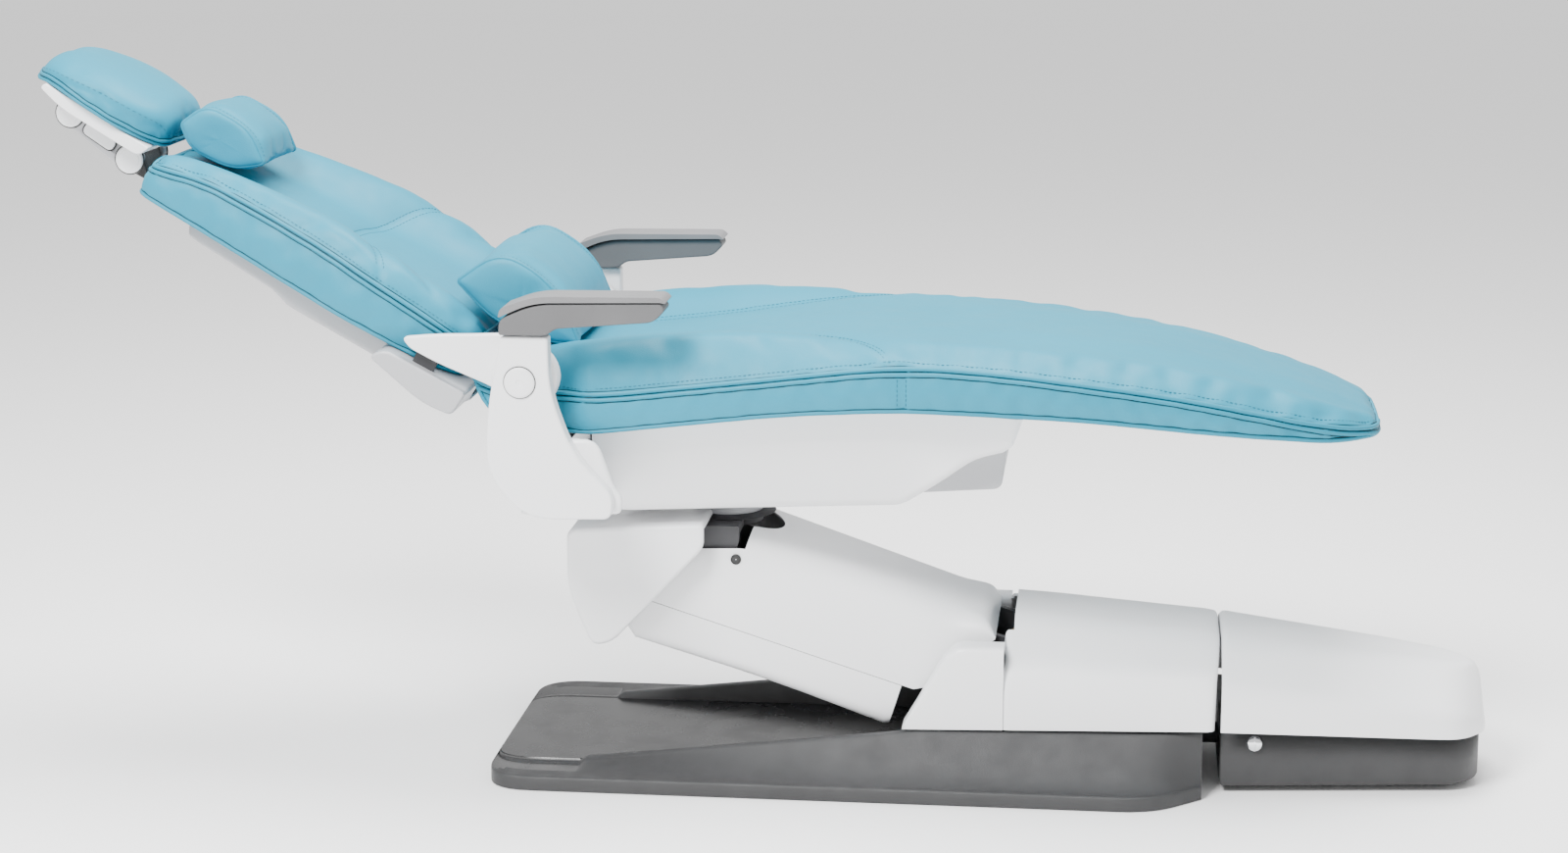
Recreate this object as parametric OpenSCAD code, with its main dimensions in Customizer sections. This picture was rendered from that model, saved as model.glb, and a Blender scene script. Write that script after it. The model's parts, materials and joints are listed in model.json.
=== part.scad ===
// Dental chair: a parallel-arm lift on a floor base, a seat that turns on a post, a
// hinged backrest, a headrest with two hinges, swing-out armrests and a junction box.
// Millimetres. X points to the feet, Y to the sitter's left and Z up.
// The origin is the middle of the floor plate, on the floor.

/* [Base] */
// Length of the skirt on the floor
base_len = 1000; // [980:5:1020]
// Width of the skirt on the floor
base_width = 474; // [460:2:490]
// Height of the upright lip around the skirt
lip_h = 20; // [18:1:24]
// Thickness of the steel floor plate
plate_t = 10; // [8:1:12]
// Distance between the anchor holes along the chair
anchor_dx = 600; // [560:10:640]
// Distance between the anchor holes across the chair
anchor_dy = 300; // [280:10:340]
// Diameter of an anchor hole
anchor_d = 14; // [10:1:18]

/* [Lift] */
// Height of the lower arm pivot
lift_z = 150; // [146:1:154]
// Length of the lift arm between its pivots
arm_len = 500; // [490:5:505]
// Slope of the lift arm at rest
arm_tilt = 17.5; // [16:0.5:19]
// Distance from an arm pivot down to the pivot of the levelling link
link_drop = 85; // [82:1:88]
// Length of the lever that the lift cylinder pushes
lever_len = 80; // [76:1:82]
// How far the lever stands ahead of straight down at rest
lever_lead = 6; // [4:0.5:8]
// Half the width of the covers on the lift arm
arm_cover_y = 112; // [108:1:114]

/* [Seat] */
// Where the swivel post stands along the chair
post_x = -178; // [-182:1:-174]
// Diameter of the swivel post
post_d = 70; // [60:1:74]
// Half the width of the seat cushion
seat_y = 260; // [250:2:264]
// Radius of the seat cushion's round rear end, about the backrest hinge
seat_end_r = 80; // [74:1:82]

/* [Back] */
// Angle of the backrest above level at rest
back_tilt = 28; // [24:1:32]
// Length of the backrest from its hinge to its top
back_len = 607; // [590:1:615]
// Length of the lever under the backrest hinge
recline_len = 120; // [114:1:122]
// How far that lever stands ahead of straight down at rest
recline_lead = 10; // [8:1:12]

/* [Headrest] */
// Angle of the headrest above level at rest
head_tilt = 34; // [30:1:38]
// Distance between the two headrest hinges
head_link_len = 107; // [104:1:110]
// Half the width of the headrest cushion
head_y = 122; // [112:1:130]

/* [Fits] */
// Radial clearance of a running fit
run_gap = 0.05; // [0.03:0.01:0.08]
// Gap below the collar round the swivel post
collar_gap = 1; // [0.5:0.5:2]
// Wall thickness of the moulded covers
wall = 4; // [3:0.5:5]

/* [Hidden] */
$fn = 48;

lift_pivot = [245, 0, lift_z];
link_pivot = lift_pivot - [0, 0, link_drop];
top_pivot = lift_pivot + arm_len * [-cos(arm_tilt), 0, sin(arm_tilt)];
top_link_pivot = top_pivot - [0, 0, link_drop];
back_hinge = [-422, 0, 601];
head_low = [-1036, 0, 863];
swing_axis = [-416, 299, 0];

lower_shaft_r = 20;
upper_shaft_r = 15;
link_pin_r = 10;
bush_t = 5;
yoke_pin_r = 8;
arm_plate = [70, 82];
stand_plate = [88, 104];
link_plate = [16, 28];
stand_boss_r = 34;
link_boss_r = 17;
arm_slot_y = arm_cover_y + 8;
carriage_plate = [88, 100];
carriage_top = 357;

cylinder_y = 50;
lift_cylinder_r = 28;
lift_rod_r = 12.5;
lift_rod_z = lift_z - lever_len + 2;
recline_cylinder_r = 22;
recline_rod_r = 11;
recline_z = back_hinge.z - recline_len + 2;
recline_shaft_r = 10;

seat_bottom = 456;
side_arm_in = 286;
side_arm_out = 312;
side_arm_top = 665;
hub_r = 46;
hinge_pin_r = 12;
swing_pin_r = 8;

head_pin_r = 7;
bar_low = -77;
bar_high = -70;
bar_y = 45;

white = [0.93, 0.93, 0.94];
pale_grey = [0.80, 0.81, 0.83];
mid_grey = [0.58, 0.59, 0.60];
dark_grey = [0.27, 0.27, 0.28];
near_black = [0.07, 0.07, 0.08];
steel = [0.62, 0.64, 0.66];
bronze = [0.72, 0.53, 0.28];
sky_blue = [0.47, 0.78, 0.88];

// ---- Outlines -------------------------------------------------------------------

// An outline is a list of [x, y, cut]. A corner with a cut is rounded over that length.
function flat2(p) = [p.x, p.y];
function unit(v) = v / norm(v);
function bend(a, b, c, cut, steps) =
    let (r = min(cut, 0.45 * norm(a - b), 0.45 * norm(c - b)),
        p = b + r * unit(a - b), q = b + r * unit(c - b))
    [for (i = [0:steps]) let (t = i / steps)
        (1 - t) ^ 2 * p + 2 * t * (1 - t) * b + t ^ 2 * q];
function rounded(list, steps = 5) =
    let (n = len(list))
    [for (i = [0:n - 1]) let (b = list[i])
        each (b.z > 0
            ? bend(flat2(list[(i + n - 1) % n]), flat2(b), flat2(list[(i + 1) % n]), b.z, steps)
            : [flat2(b)])];
function arc(centre, r, from, to, steps) =
    [for (i = [0:steps]) let (a = from + (to - from) * i / steps)
        [centre.x + r * cos(a), centre.y + r * sin(a), 0]];
// The outline of a form that is mirrored about its middle, from its [x, y, cut] at y > 0.
function mirrored(list) =
    concat(list, [for (i = [len(list) - 1:-1:0]) [list[i].x, -list[i].y, list[i].z]]);
function cross_mirrored(list) =
    concat(list, [for (i = [len(list) - 1:-1:0]) [-list[i].x, list[i].y, list[i].z]]);

// Extrudes a side outline (x, z) between two values of Y.
module side_form(outline, y0, y1) {
    translate([0, y1, 0]) rotate([90, 0, 0]) linear_extrude(y1 - y0) polygon(rounded(outline));
}
// Extrudes a plan outline (x, y) between two heights.
module plan_form(outline, z0, z1) {
    translate([0, 0, z0]) linear_extrude(z1 - z0) polygon(rounded(outline));
}
// Extrudes an end outline (y, z) between two values of X.
module end_form(outline, x0, x1) {
    translate([x0, 0, 0]) rotate([90, 0, 90]) linear_extrude(x1 - x0) polygon(rounded(outline));
}
module block(low, high) {
    translate(low) cube(high - low);
}
// A round bar along Y between two values of Y, centred on point p.
module y_bar(p, r, y0, y1) {
    translate([p.x, y0, p.z]) rotate([-90, 0, 0]) cylinder(r = r, h = y1 - y0);
}
module x_bar(r, x0, x1, y, z) {
    translate([x0, y, z]) rotate([0, 90, 0]) cylinder(r = r, h = x1 - x0);
}
module post(r, z0, z1, p) {
    translate([p.x, p.y, z0]) cylinder(r = r, h = z1 - z0);
}
module both_sides() {
    children();
    mirror([0, 1, 0]) children();
}
// Local frames: x runs up along the arm, the back or the headrest, z stands off its face.
module on_arm(pivot = lift_pivot) {
    translate(pivot) rotate([0, arm_tilt, 0]) mirror([1, 0, 0]) children();
}
module on_back() {
    translate(back_hinge) rotate([0, back_tilt, 0]) mirror([1, 0, 0]) children();
}
module on_head() {
    translate(head_low) rotate([0, head_tilt, 0]) mirror([1, 0, 0]) children();
}

// ---- Base -----------------------------------------------------------------------

base_x = base_len / 2;
base_y = base_width / 2;
hose_r = 15;
hose_z = 45;
hose_hole_r = hose_r + 3;
ridge_in = 150;
ridge_out = 166;
well_y = 140;
well_x = -150;

module floor_plate() {
    color(near_black) difference() {
        plan_form(mirrored([[-450, 195, 40], [480, 195, 40]]), 0, plate_t);
        for (x = [-anchor_dx / 2, anchor_dx / 2], y = [-anchor_dy / 2, anchor_dy / 2])
            translate([x + 120, y, -1]) cylinder(d = anchor_d, h = plate_t + 2);
    }
}

function skirt_plan(inset) = mirrored([
    [-base_x + inset, base_y - inset, 100 - inset],
    [base_x - 60, base_y - inset, 50],
    [base_x + 3 - inset, 165 - inset, 12]]);

// One flank: it rises from the lip to a ridge that climbs towards the housing.
module skirt_flank(inset) {
    hull() {
        side_form([
            [-370 + 6 * inset, lip_h - 1, 0], [-367 + 6 * inset, 27 - inset, 0],
            [72, 79 - inset, 0], [100, 84 - inset, 0], [508 - inset, 93 - inset, 0],
            [500 - inset, lip_h - 1, 0]], ridge_in + inset, ridge_out - inset);
        side_form([[-430, lip_h - 2, 0], [-430, lip_h - inset, 0],
            [455 - inset, lip_h - inset, 0], [455 - inset, lip_h - 2, 0]],
            ridge_out, base_y - 4 - 2 * inset);
    }
}

module base_skirt() {
    color(dark_grey) difference() {
        union() {
            plan_form(skirt_plan(0), 0, lip_h);
            both_sides() skirt_flank(0);
            block([496, -ridge_in, lip_h - 1], [500, ridge_in, 92]);
        }
        plan_form(skirt_plan(5), -1, lip_h - 4);
        both_sides() skirt_flank(wall);
        block([well_x, -well_y, -1], [494, well_y, 120]);
        x_bar(hose_hole_r, 480, 520, 0, hose_z);
    }
}

module pivot_stand() {
    color(dark_grey) difference() {
        union() {
            block([150, -110, plate_t], [340, 110, plate_t + 10]);
            both_sides() {
                side_form([[165, plate_t + 5, 0], [211, lift_z, 0], [279, lift_z, 0],
                    [325, plate_t + 5, 0]], stand_plate[0], stand_plate[1]);
                y_bar(lift_pivot, stand_boss_r, stand_plate[0], stand_plate[1]);
                side_form([[220, plate_t + 5, 0], [228, link_pivot.z, 0],
                    [262, link_pivot.z, 0], [270, plate_t + 5, 0]], link_plate[0], link_plate[1]);
                y_bar(link_pivot, link_boss_r, link_plate[0], link_plate[1]);
            }
        }
        y_bar(lift_pivot, lower_shaft_r, -120, 120);
        y_bar(link_pivot, link_pin_r, -120, 120);
    }
}

module base_pins() {
    color(steel) {
        y_bar(lift_pivot, lower_shaft_r, -110, 110);
        y_bar(link_pivot, link_pin_r, -32, 32);
    }
}

function housing_side(t) = [
    [87 - 40 * sign(t), 85 - 40 * sign(t), 4], [144, 190 - t, 10], [163, 208 - t, 8],
    [222 + t, 208 - t, 4], [230 + t, 244 - t, 4], [534 - 2 * t, 220 - t, 6],
    [526 - t, 168, 4], [524 - t, 96 - 60 * sign(t), 1]];
function housing_end(t) = cross_mirrored([[165 - t, 0, 0], [165 - t, 168, 14],
    [75 - t / 2, 248 - t, 24]]);

module rear_housing() {
    color(white) difference() {
        intersection() {
            side_form(housing_side(0), -170, 170);
            end_form(housing_end(0), 60, 560);
        }
        intersection() {
            side_form(housing_side(wall), -170, 170);
            end_form(housing_end(wall), 20, 560);
        }
        block([60, -arm_slot_y, 20], [229, arm_slot_y, 300]);
        block([220, -arm_slot_y, 20], [240, arm_slot_y, 232]);
    }
}

module pump_unit() {
    color(steel) {
        block([345, -125, plate_t], [490, -30, 66]);
        x_bar(30, 350, 485, -77, 95);
    }
}

module lift_cylinder() {
    color(near_black) difference() {
        union() {
            x_bar(lift_cylinder_r, 318, 482, cylinder_y, lift_rod_z);
            block([440, cylinder_y - 24, plate_t], [478, cylinder_y + 24, lift_rod_z]);
            block([344, cylinder_y - 24, plate_t], [366, cylinder_y + 24, lift_rod_z]);
        }
        x_bar(lift_rod_r + run_gap, 300, 470, cylinder_y, lift_rod_z);
    }
}

// The pin sits in a tall slot, so the rod can run straight while the lever turns.
module lift_rod() {
    pin_x = lift_pivot.x + lever_len * sin(lever_lead);
    slot = yoke_pin_r + 1;
    color(steel) difference() {
        union() {
            x_bar(lift_rod_r, pin_x + 10, 440, cylinder_y, lift_rod_z);
            block([pin_x - 20, 32, lift_rod_z - 26], [pin_x + 20, 66, lift_rod_z + 30]);
        }
        block([pin_x - slot, 30, lift_rod_z - 14], [pin_x + slot, 68, lift_rod_z + 18]);
    }
}

// ---- Junction box ---------------------------------------------------------------

box_slope = 6.8;
lid_top = 220;
box_left = 531;
latch_at = [581, 0, 72];
latch_r = 6;
latch_dome_r = 11;

function tray_side(t) = [[512 + t, 9 + t, 6], [box_left + t, 94 + 9 * sign(t), 0],
    [902 - t, 80 + 9 * sign(t), 0], [898 - t, 9 + t, 10]];
function tray_plan(t) = mirrored([[500 + 20 * sign(t), 141 - t, 0], [868, 96 - t, 30],
    [901 - t, 62 - t, 20]]);
function lid_side(t) = [[box_left + t, 95 - 9 * sign(t), 0], [537 + t, lid_top - t, 6],
    [800, 189 - t, 40], [901 - t, 168 - t, 16], [902 - t, 81 - 9 * sign(t), 0]];
function lid_plan(t) = mirrored([[500, 165 - t, 0], [868, 120 - t, 50], [908 - t, 66 - t, 30]]);

module box_tray() {
    color(dark_grey) difference() {
        intersection() {
            side_form(tray_side(0), -150, 150);
            plan_form(tray_plan(0), 0, 110);
        }
        intersection() {
            side_form(tray_side(wall), -150, 150);
            plan_form(tray_plan(wall), 0, 110);
        }
        x_bar(hose_hole_r, 500, 560, 0, hose_z);
        y_bar(latch_at, latch_r + run_gap, -150, -100);
    }
}

module box_cover() {
    color(white) difference() {
        intersection() {
            side_form(lid_side(0), -170, 170);
            plan_form(lid_plan(0), 60, 260);
            translate([box_left, 0, lid_top]) rotate([0, box_slope, 0])
                end_form(cross_mirrored([[172, -200, 0], [172, -80, 14], [90, 1, 20]]), -60, 420);
        }
        intersection() {
            side_form(lid_side(wall), -170, 170);
            plan_form(lid_plan(wall), 60, 260);
            translate([box_left, 0, lid_top]) rotate([0, box_slope, 0])
                end_form(cross_mirrored([[170, -200, 0], [170, -80 - wall, 14],
                    [90 - wall, 1 - wall, 20]]), -60, 420);
        }
    }
}

module box_feet() {
    color(near_black) for (x = [560, 840], y = [-60, 60]) post(12, 0, 9, [x, y]);
}

// A domed quarter-turn latch: its cam hooks behind the wall of the tray.
module box_latch() {
    dome = [for (a = [0:15:90]) [latch_dome_r * cos(a), 6 * sin(a)]];
    color(steel) {
        y_bar(latch_at, latch_r, -138, -118);
        translate([latch_at.x, -133, latch_at.z]) rotate([90, 0, 0]) rotate_extrude()
            polygon([for (p = concat([[0, 0]], dome)) [p.x, p.y + 6]]);
        block([latch_at.x - 5, -125, latch_at.z - 5], [latch_at.x + 5, -121, latch_at.z + 22]);
    }
}

module power_supply() {
    color(steel) block([590, -70, 14], [700, 10, 70]);
}

valve_x = 780;
valve_y = 38;

module valve_bodies() {
    color(bronze) for (y = [-valve_y, valve_y]) difference() {
        union() {
            x_bar(14, valve_x - 35, valve_x + 35, y, 40);
            post(10, 40, 64, [valve_x, y]);
            block([valve_x - 10, y - 10, 13], [valve_x + 10, y + 10, 40]);
        }
        post(5 + run_gap, 50, 70, [valve_x, y]);
    }
}

module valve_handle(y) {
    post(5, 52, 72, [valve_x, y]);
    block([valve_x - 6, y - 6, 66], [valve_x + 36, y + 6, 74]);
}

module water_valve_handle() {
    color(sky_blue) valve_handle(-valve_y);
}

module air_valve_handle() {
    color(mid_grey) valve_handle(valve_y);
}

module service_hose() {
    color(near_black) x_bar(hose_r, 484, 586, 0, hose_z);
}

// ---- Lift arm -------------------------------------------------------------------

module lift_arm() {
    color(steel) difference() {
        union() {
            on_arm() {
                both_sides() {
                    side_form([[0, -43, 0], [0, 43, 0], [arm_len, 38, 0], [arm_len, -38, 0]],
                        arm_plate[0], arm_plate[1]);
                    y_bar([0, 0, 0], 45, arm_plate[0], arm_plate[1]);
                    y_bar([arm_len, 0, 0], 40, arm_plate[0], arm_plate[1]);
                }
                side_form([[60, 18, 0], [60, 30, 0], [arm_len - 100, 30, 0],
                    [arm_len - 100, 18, 0]], -75, 75);
                side_form([[70, -32, 0], [70, -20, 0], [arm_len - 100, -20, 0],
                    [arm_len - 100, -32, 0]], -75, 75);
            }
            translate(lift_pivot) rotate([0, -lever_lead, 0]) {
                side_form([[-30, -8, 0], [30, -8, 0], [17, -lever_len, 0], [-17, -lever_len, 0]],
                    arm_plate[0] + 1, arm_plate[1] - 1);
                y_bar([0, 0, -lever_len], 20, arm_plate[0], arm_plate[1]);
            }
        }
        y_bar(lift_pivot, lower_shaft_r + bush_t, -100, 100);
        y_bar(top_pivot, upper_shaft_r + bush_t, -100, 100);
        translate(lift_pivot) rotate([0, -lever_lead, 0])
            y_bar([0, 0, -lever_len], yoke_pin_r, 40, 100);
    }
}

module arm_bushes() {
    color(bronze) both_sides() {
        for (end = [[lift_pivot, lower_shaft_r], [top_pivot, upper_shaft_r]]) difference() {
            y_bar(end[0], end[1] + bush_t, arm_plate[0], arm_plate[1]);
            y_bar(end[0], end[1] + run_gap, arm_plate[0] - 5, arm_plate[1] + 5);
        }
    }
}

module yoke_pin() {
    color(steel) translate(lift_pivot) rotate([0, -lever_lead, 0])
        y_bar([0, 0, -lever_len], yoke_pin_r, 34, arm_plate[1]);
}

cover_t = 3;

// The top cover is a tunnel along the arm, open at both ends and notched round the post;
// t is the wall to take away.
function top_cover_side(t) = [
    [46 - 40 * sign(t), 46 - 40 * sign(t), 2], [66 - 40 * sign(t), 66 - t, 12],
    [424, 76 - t, 6], [550 + 30 * sign(t), 32 - t - 13 * sign(t), 4],
    [562 + 30 * sign(t), -64 - 20 * sign(t), 0], [124 - 60 * sign(t), -64 - 20 * sign(t), 4]];
function top_cover_end(t) = cross_mirrored([[arm_cover_y - t, -110, 0],
    [arm_cover_y - t, 78 - t, 62]]);

module arm_top_cover() {
    notch_r = post_d / 2 + 35;
    color(white) difference() {
        on_arm() difference() {
            intersection() {
                side_form(top_cover_side(0), -130, 130);
                end_form(top_cover_end(0), 0, 600);
            }
            intersection() {
                side_form(top_cover_side(cover_t), -130, 130);
                end_form(top_cover_end(cover_t), -20, 620);
            }
            block([422, 6 - arm_cover_y, -110], [620, arm_cover_y - 6, 120]);
        }
        post(notch_r, 250, 420, [post_x + 11, 0]);
    }
}

// The under cover is a channel, open at both ends; t is the wall to take away.
function under_cover_side(t) = [
    [152 - 30 * sign(t), -67 + 20 * sign(t), 0], [148 - 30 * sign(t), -136 + t, 6],
    [329, -125 + t, 60], [548 + 30 * sign(t), -128 + t, 8],
    [562 + 30 * sign(t), -67 + 20 * sign(t), 0]];

module arm_under_cover() {
    color(white) on_arm() difference() {
        side_form(under_cover_side(0), -arm_cover_y, arm_cover_y);
        side_form(under_cover_side(cover_t), -arm_cover_y + cover_t, arm_cover_y - cover_t);
    }
}

module parallel_link() {
    color(steel) on_arm(link_pivot) difference() {
        union() {
            block([0, -12, -11], [arm_len, 12, 11]);
            y_bar([0, 0, 0], 18, -12, 12);
            y_bar([arm_len, 0, 0], 18, -12, 12);
        }
        y_bar([0, 0, 0], link_pin_r + run_gap, -20, 20);
        y_bar([arm_len, 0, 0], link_pin_r + 1, -20, 20);
    }
}

// ---- Carriage -------------------------------------------------------------------

module carriage() {
    p = top_pivot;
    color(dark_grey) difference() {
        union() {
            both_sides() side_form([[p.x - 66, carriage_top, 0], [p.x + 80, carriage_top, 0],
                [p.x + 80, 335, 0], [p.x + 26, 195, 10], [p.x - 26, 195, 10],
                [p.x - 66, 300, 0]], carriage_plate[0], carriage_plate[1]);
            block([p.x - 66, -94, carriage_top - 12], [p.x + 80, 94, carriage_top]);
            block([p.x - 66, -94, 300], [p.x - 56, 94, carriage_top - 5]);
            post(post_d / 2 + 14, carriage_top - 12, carriage_top, [post_x, 0]);
        }
        y_bar(top_pivot, upper_shaft_r, -120, 120);
        y_bar(top_link_pivot, link_pin_r, -120, 120);
    }
}

module carriage_pins() {
    color(steel) {
        y_bar(top_pivot, upper_shaft_r, -105, 105);
        y_bar(top_link_pivot, link_pin_r, -105, 105);
    }
}

module carriage_shroud() {
    color(white) difference() {
        side_form([[-392, 359, 12], [-195, 371, 6], [-195, 336, 10], [-328, 194, 14],
            [-358, 188, 14], [-392, 273, 20]], -150, 150);
        side_form([[-388, 355, 10], [-190, 367, 0], [-150, 330, 0], [-300, 150, 0],
            [-352, 160, 0], [-388, 275, 20]], -150 + wall, 150 - wall);
        post(post_d / 2 + 20, 340, 400, [post_x, 0]);
    }
}

module swivel_post() {
    color(steel) post(post_d / 2, carriage_top, 444, [post_x, 0]);
}

// ---- Seat -----------------------------------------------------------------------

module swivel_hub() {
    bush_r = post_d / 2 + 4;
    color(dark_grey) difference() {
        union() {
            post(post_d / 2 + 21, 392, 448, [post_x, 0]);
            block([post_x - 82, -136, 446], [post_x + 82, 136, seat_bottom]);
        }
        post(bush_r, 380, 446, [post_x, 0]);
    }
}

module swivel_bush() {
    color(bronze) difference() {
        post(post_d / 2 + 4, 392, 440, [post_x, 0]);
        post(post_d / 2 + run_gap, 380, 450, [post_x, 0]);
    }
}

module swivel_collar() {
    color(pale_grey) difference() {
        post(post_d / 2 + 13, carriage_top + collar_gap, 391, [post_x, 0]);
        post(post_d / 2 + 0.6, carriage_top - 5, 400, [post_x, 0]);
    }
}

// A square tube along X or Y with open ends.
module tube(low, high, hollow_axis) {
    t = 2.5;
    cut = [for (i = [0:2]) i == hollow_axis ? -1 : t];
    difference() {
        block(low, high);
        block(low + cut, high - cut);
    }
}

module seat_frame() {
    color(dark_grey) {
        both_sides() tube([-356, 105, seat_bottom], [200, 135, seat_bottom + 28], 0);
        tube([-386, -200, seat_bottom - 24], [-350, 200, seat_bottom], 1);
        tube([165, -105, seat_bottom], [200, 105, seat_bottom + 28], 1);
    }
}

shell_top = [[249, 547, 6], [89, 558, 60], [-71, 549, 60], [-340, 516, 0]];
function shell_side(t) = concat(
    [[-320 + t / 2, 389 + t, 10], [83 - t / 2, 411 + t, 8], [185, 488 + t, 20],
     [233 - t, 500 + t, 4]],
    [for (p = shell_top) [p.x + t * sign(p.x) * -0.5, p.y + 20 * sign(t), p.z]],
    [[-372 + t, 486, 8]]);
function shell_end(t) = cross_mirrored([[150 - t, 386, 12], [202 - t, 496, 10],
    [218 - t, 620, 0]]);

module seat_shell() {
    color(white) difference() {
        intersection() {
            side_form(shell_side(0), -260, 260);
            end_form(shell_end(0), -420, 300);
        }
        intersection() {
            side_form(shell_side(wall), -260, 260);
            end_form(shell_end(wall), -420, 300);
        }
        post(post_d / 2 + 23, 380, 410, [post_x, 0]);
        block([95, -152, 400], [300, 152, 520]);
        block([225, -112, 541], [270, 112, 570]);
        block([-420, -160, 428], [-336, 160, 600]);
        block([-420, -203, 429], [-346, 203, 459]);
        block([-420, -260, 466], [-338, 260, 600]);
    }
}

// How far the hollow of the pan runs past its open rear end.
pan_open = 5;

function pan_side(t) = [[96, 423 + t, 0], [224 - t, 432 + t, 6], [230 - t, 493, 0],
    [230 - t, 538 + 12 * sign(t), 0], [96, 538 + 12 * sign(t), 0]];

module seat_pan() {
    color(pale_grey) difference() {
        side_form(pan_side(0), -150, 150);
        translate([-pan_open, 0, 0]) side_form(pan_side(3), -147, 147);
    }
}

// The underside of the long cushion, from the hinge to the toe.
cushion_under = [[680, 511, 12], [525, 528, 40], [327, 551, 60], [89, 561, 60], [-71, 552, 60],
    [-342, 520, 20]];

module leg_board() {
    top = [for (p = cushion_under) if (p.x > 250 && p.x < 600) [p.x, p.y - 3, 0]];
    board_t = 7;
    color(near_black) side_form(concat([[640, 512, 0]], top, [[205, 553, 0],
        [205, 553 - board_t, 0]], [for (i = [len(top) - 1:-1:0]) top[i] - [0, board_t, 0]],
        [[640, 512 - board_t, 0]]), -110, 110);
}

module seat_cushion() {
    centre = [back_hinge.x, back_hinge.z];
    plan = mirrored([[-510, seat_y - 18, 10], [-368, seat_y - 18, 4], [-350, seat_y, 10],
        [100, seat_y, 60], [326, 248, 60], [523, 212, 60], [668, 172, 60], [741, 110, 70]]);
    rear = arc(centre, seat_end_r, 180, 270, 9);
    middle = concat([[-480, 607, 8], [-340, 608, 30], [-121, 634, 60], [42, 646, 60],
        [251, 640, 60], [459, 616, 60], [620, 575, 50], [738, 536, 20], [738, 514, 10]],
        cushion_under, [[-421, 521, 0]], [for (i = [9:-1:0]) rear[i]]);
    bolster = [[-470, 604, 10], [-330, 640, 50], [-160, 652, 40], [20, 640, 60], [120, 610, 0],
        [0, 580, 0], [-300, 560, 0]];
    color(sky_blue) intersection() {
        union() {
            side_form(middle, -280, 280);
            both_sides() side_form(bolster, 170, 280);
        }
        plan_form(plan, 500, 700);
    }
}

function side_arm_outline() = [[-447, side_arm_top, 4], [-383, side_arm_top, 4],
    [-382, 590, 30], [-352, 505, 40], [-296, 446, 12], [-300, 414, 10], [-416, 411, 36],
    [-470, 470, 36], [-468, 560, 30]];

module side_arm() {
    color(white) difference() {
        union() {
            side_form(side_arm_outline(), side_arm_in, side_arm_out);
            block([-428, 150, 412], [-352, side_arm_in + 1, seat_bottom - 24]);
        }
        y_bar(back_hinge, hinge_pin_r, 280, 320);
        post(swing_pin_r, 625, 680, swing_axis);
    }
}

module side_arm_left() {
    side_arm();
}

module side_arm_right() {
    mirror([0, 1, 0]) side_arm();
}

module hinge_pins() {
    color(steel) both_sides() y_bar(back_hinge, hinge_pin_r, 250, side_arm_out);
}

module hinge_caps() {
    color(white) both_sides() y_bar(back_hinge, 20, side_arm_out, side_arm_out + 4);
}

module armrest_pins() {
    color(steel) both_sides() post(swing_pin_r, 625, 690, swing_axis);
}

module recline_cylinder() {
    color(near_black) difference() {
        union() {
            x_bar(recline_cylinder_r, -312, -80, 0, recline_z);
            block([-150, -18, seat_bottom], [-110, 18, recline_z]);
        }
        x_bar(recline_rod_r + run_gap, -330, -95, 0, recline_z);
    }
}

// An open fork holds the recline shaft, so the rod runs straight while the lever turns.
module recline_rod() {
    fork_x = back_hinge.x + recline_len * sin(recline_lead);
    slot = recline_shaft_r + 3.5;
    color(steel) {
        x_bar(recline_rod_r, fork_x + slot + 4, -150, 0, recline_z);
        difference() {
            block([fork_x - slot - 9, -20, recline_z - 21], [fork_x + slot + 9, 20, 513]);
            block([fork_x - slot, -30, recline_z - 13], [fork_x + slot, 30, 530]);
        }
    }
}

// ---- Armrests -------------------------------------------------------------------

module arm_base() {
    color(mid_grey) difference() {
        side_form([[-449, side_arm_top + 1, 3], [-384, side_arm_top + 1, 6], [-372, 676, 8],
            [-238, 687, 10], [-222, 700, 5], [-228, 707, 2], [-400, 702, 30],
            [-447, 682, 10]], 270, 318);
        post(swing_pin_r + run_gap, 650, 692, swing_axis);
    }
}

module arm_pad() {
    color(mid_grey) intersection() {
        side_form([[-449, 682, 1], [-402, 702.5, 30], [-228, 707.5, 1], [-219, 713, 4],
            [-228, 722, 6], [-400, 720, 34], [-445, 703, 12]], 260, 320);
        plan_form([[-460, 262, 8], [-280, 262, 20], [-218, 270, 18], [-218, 310, 18],
            [-280, 320, 20], [-460, 320, 8]], 600, 760);
    }
}

module left_arm_base() {
    arm_base();
}

module left_arm_pad() {
    arm_pad();
}

module right_arm_base() {
    mirror([0, 1, 0]) arm_base();
}

module right_arm_pad() {
    mirror([0, 1, 0]) arm_pad();
}

// ---- Backrest -------------------------------------------------------------------

back_arm = [252, 280];
blade = [246, 261];
rail_low = -84;
rail_high = -68;

module back_side_arm() {
    color(white) difference() {
        union() {
            y_bar(back_hinge, hub_r, back_arm[0], back_arm[1]);
            on_back() side_form([[0, -40, 0], [37, -38, 10], [118, -46, 20], [160, -46, 6],
                [176, -38, 6], [135, -11, 20], [90, 14, 20], [54, 36, 16], [8, 44, 0]],
                blade[0], blade[1]);
            translate(back_hinge) rotate([0, -recline_lead, 0]) {
                side_form([[-24, 0, 0], [24, 0, 0], [15, -recline_len, 0],
                    [-15, -recline_len, 0]], back_arm[0] + 8, back_arm[1] - 6);
                y_bar([0, 0, -recline_len], 15, back_arm[0] + 8, back_arm[1] - 6);
            }
        }
        y_bar(back_hinge, hinge_pin_r + run_gap, 240, 300);
        translate(back_hinge) rotate([0, -recline_lead, 0])
            y_bar([0, 0, -recline_len], recline_shaft_r, 240, 300);
    }
}

module back_arm_left() {
    back_side_arm();
}

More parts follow.
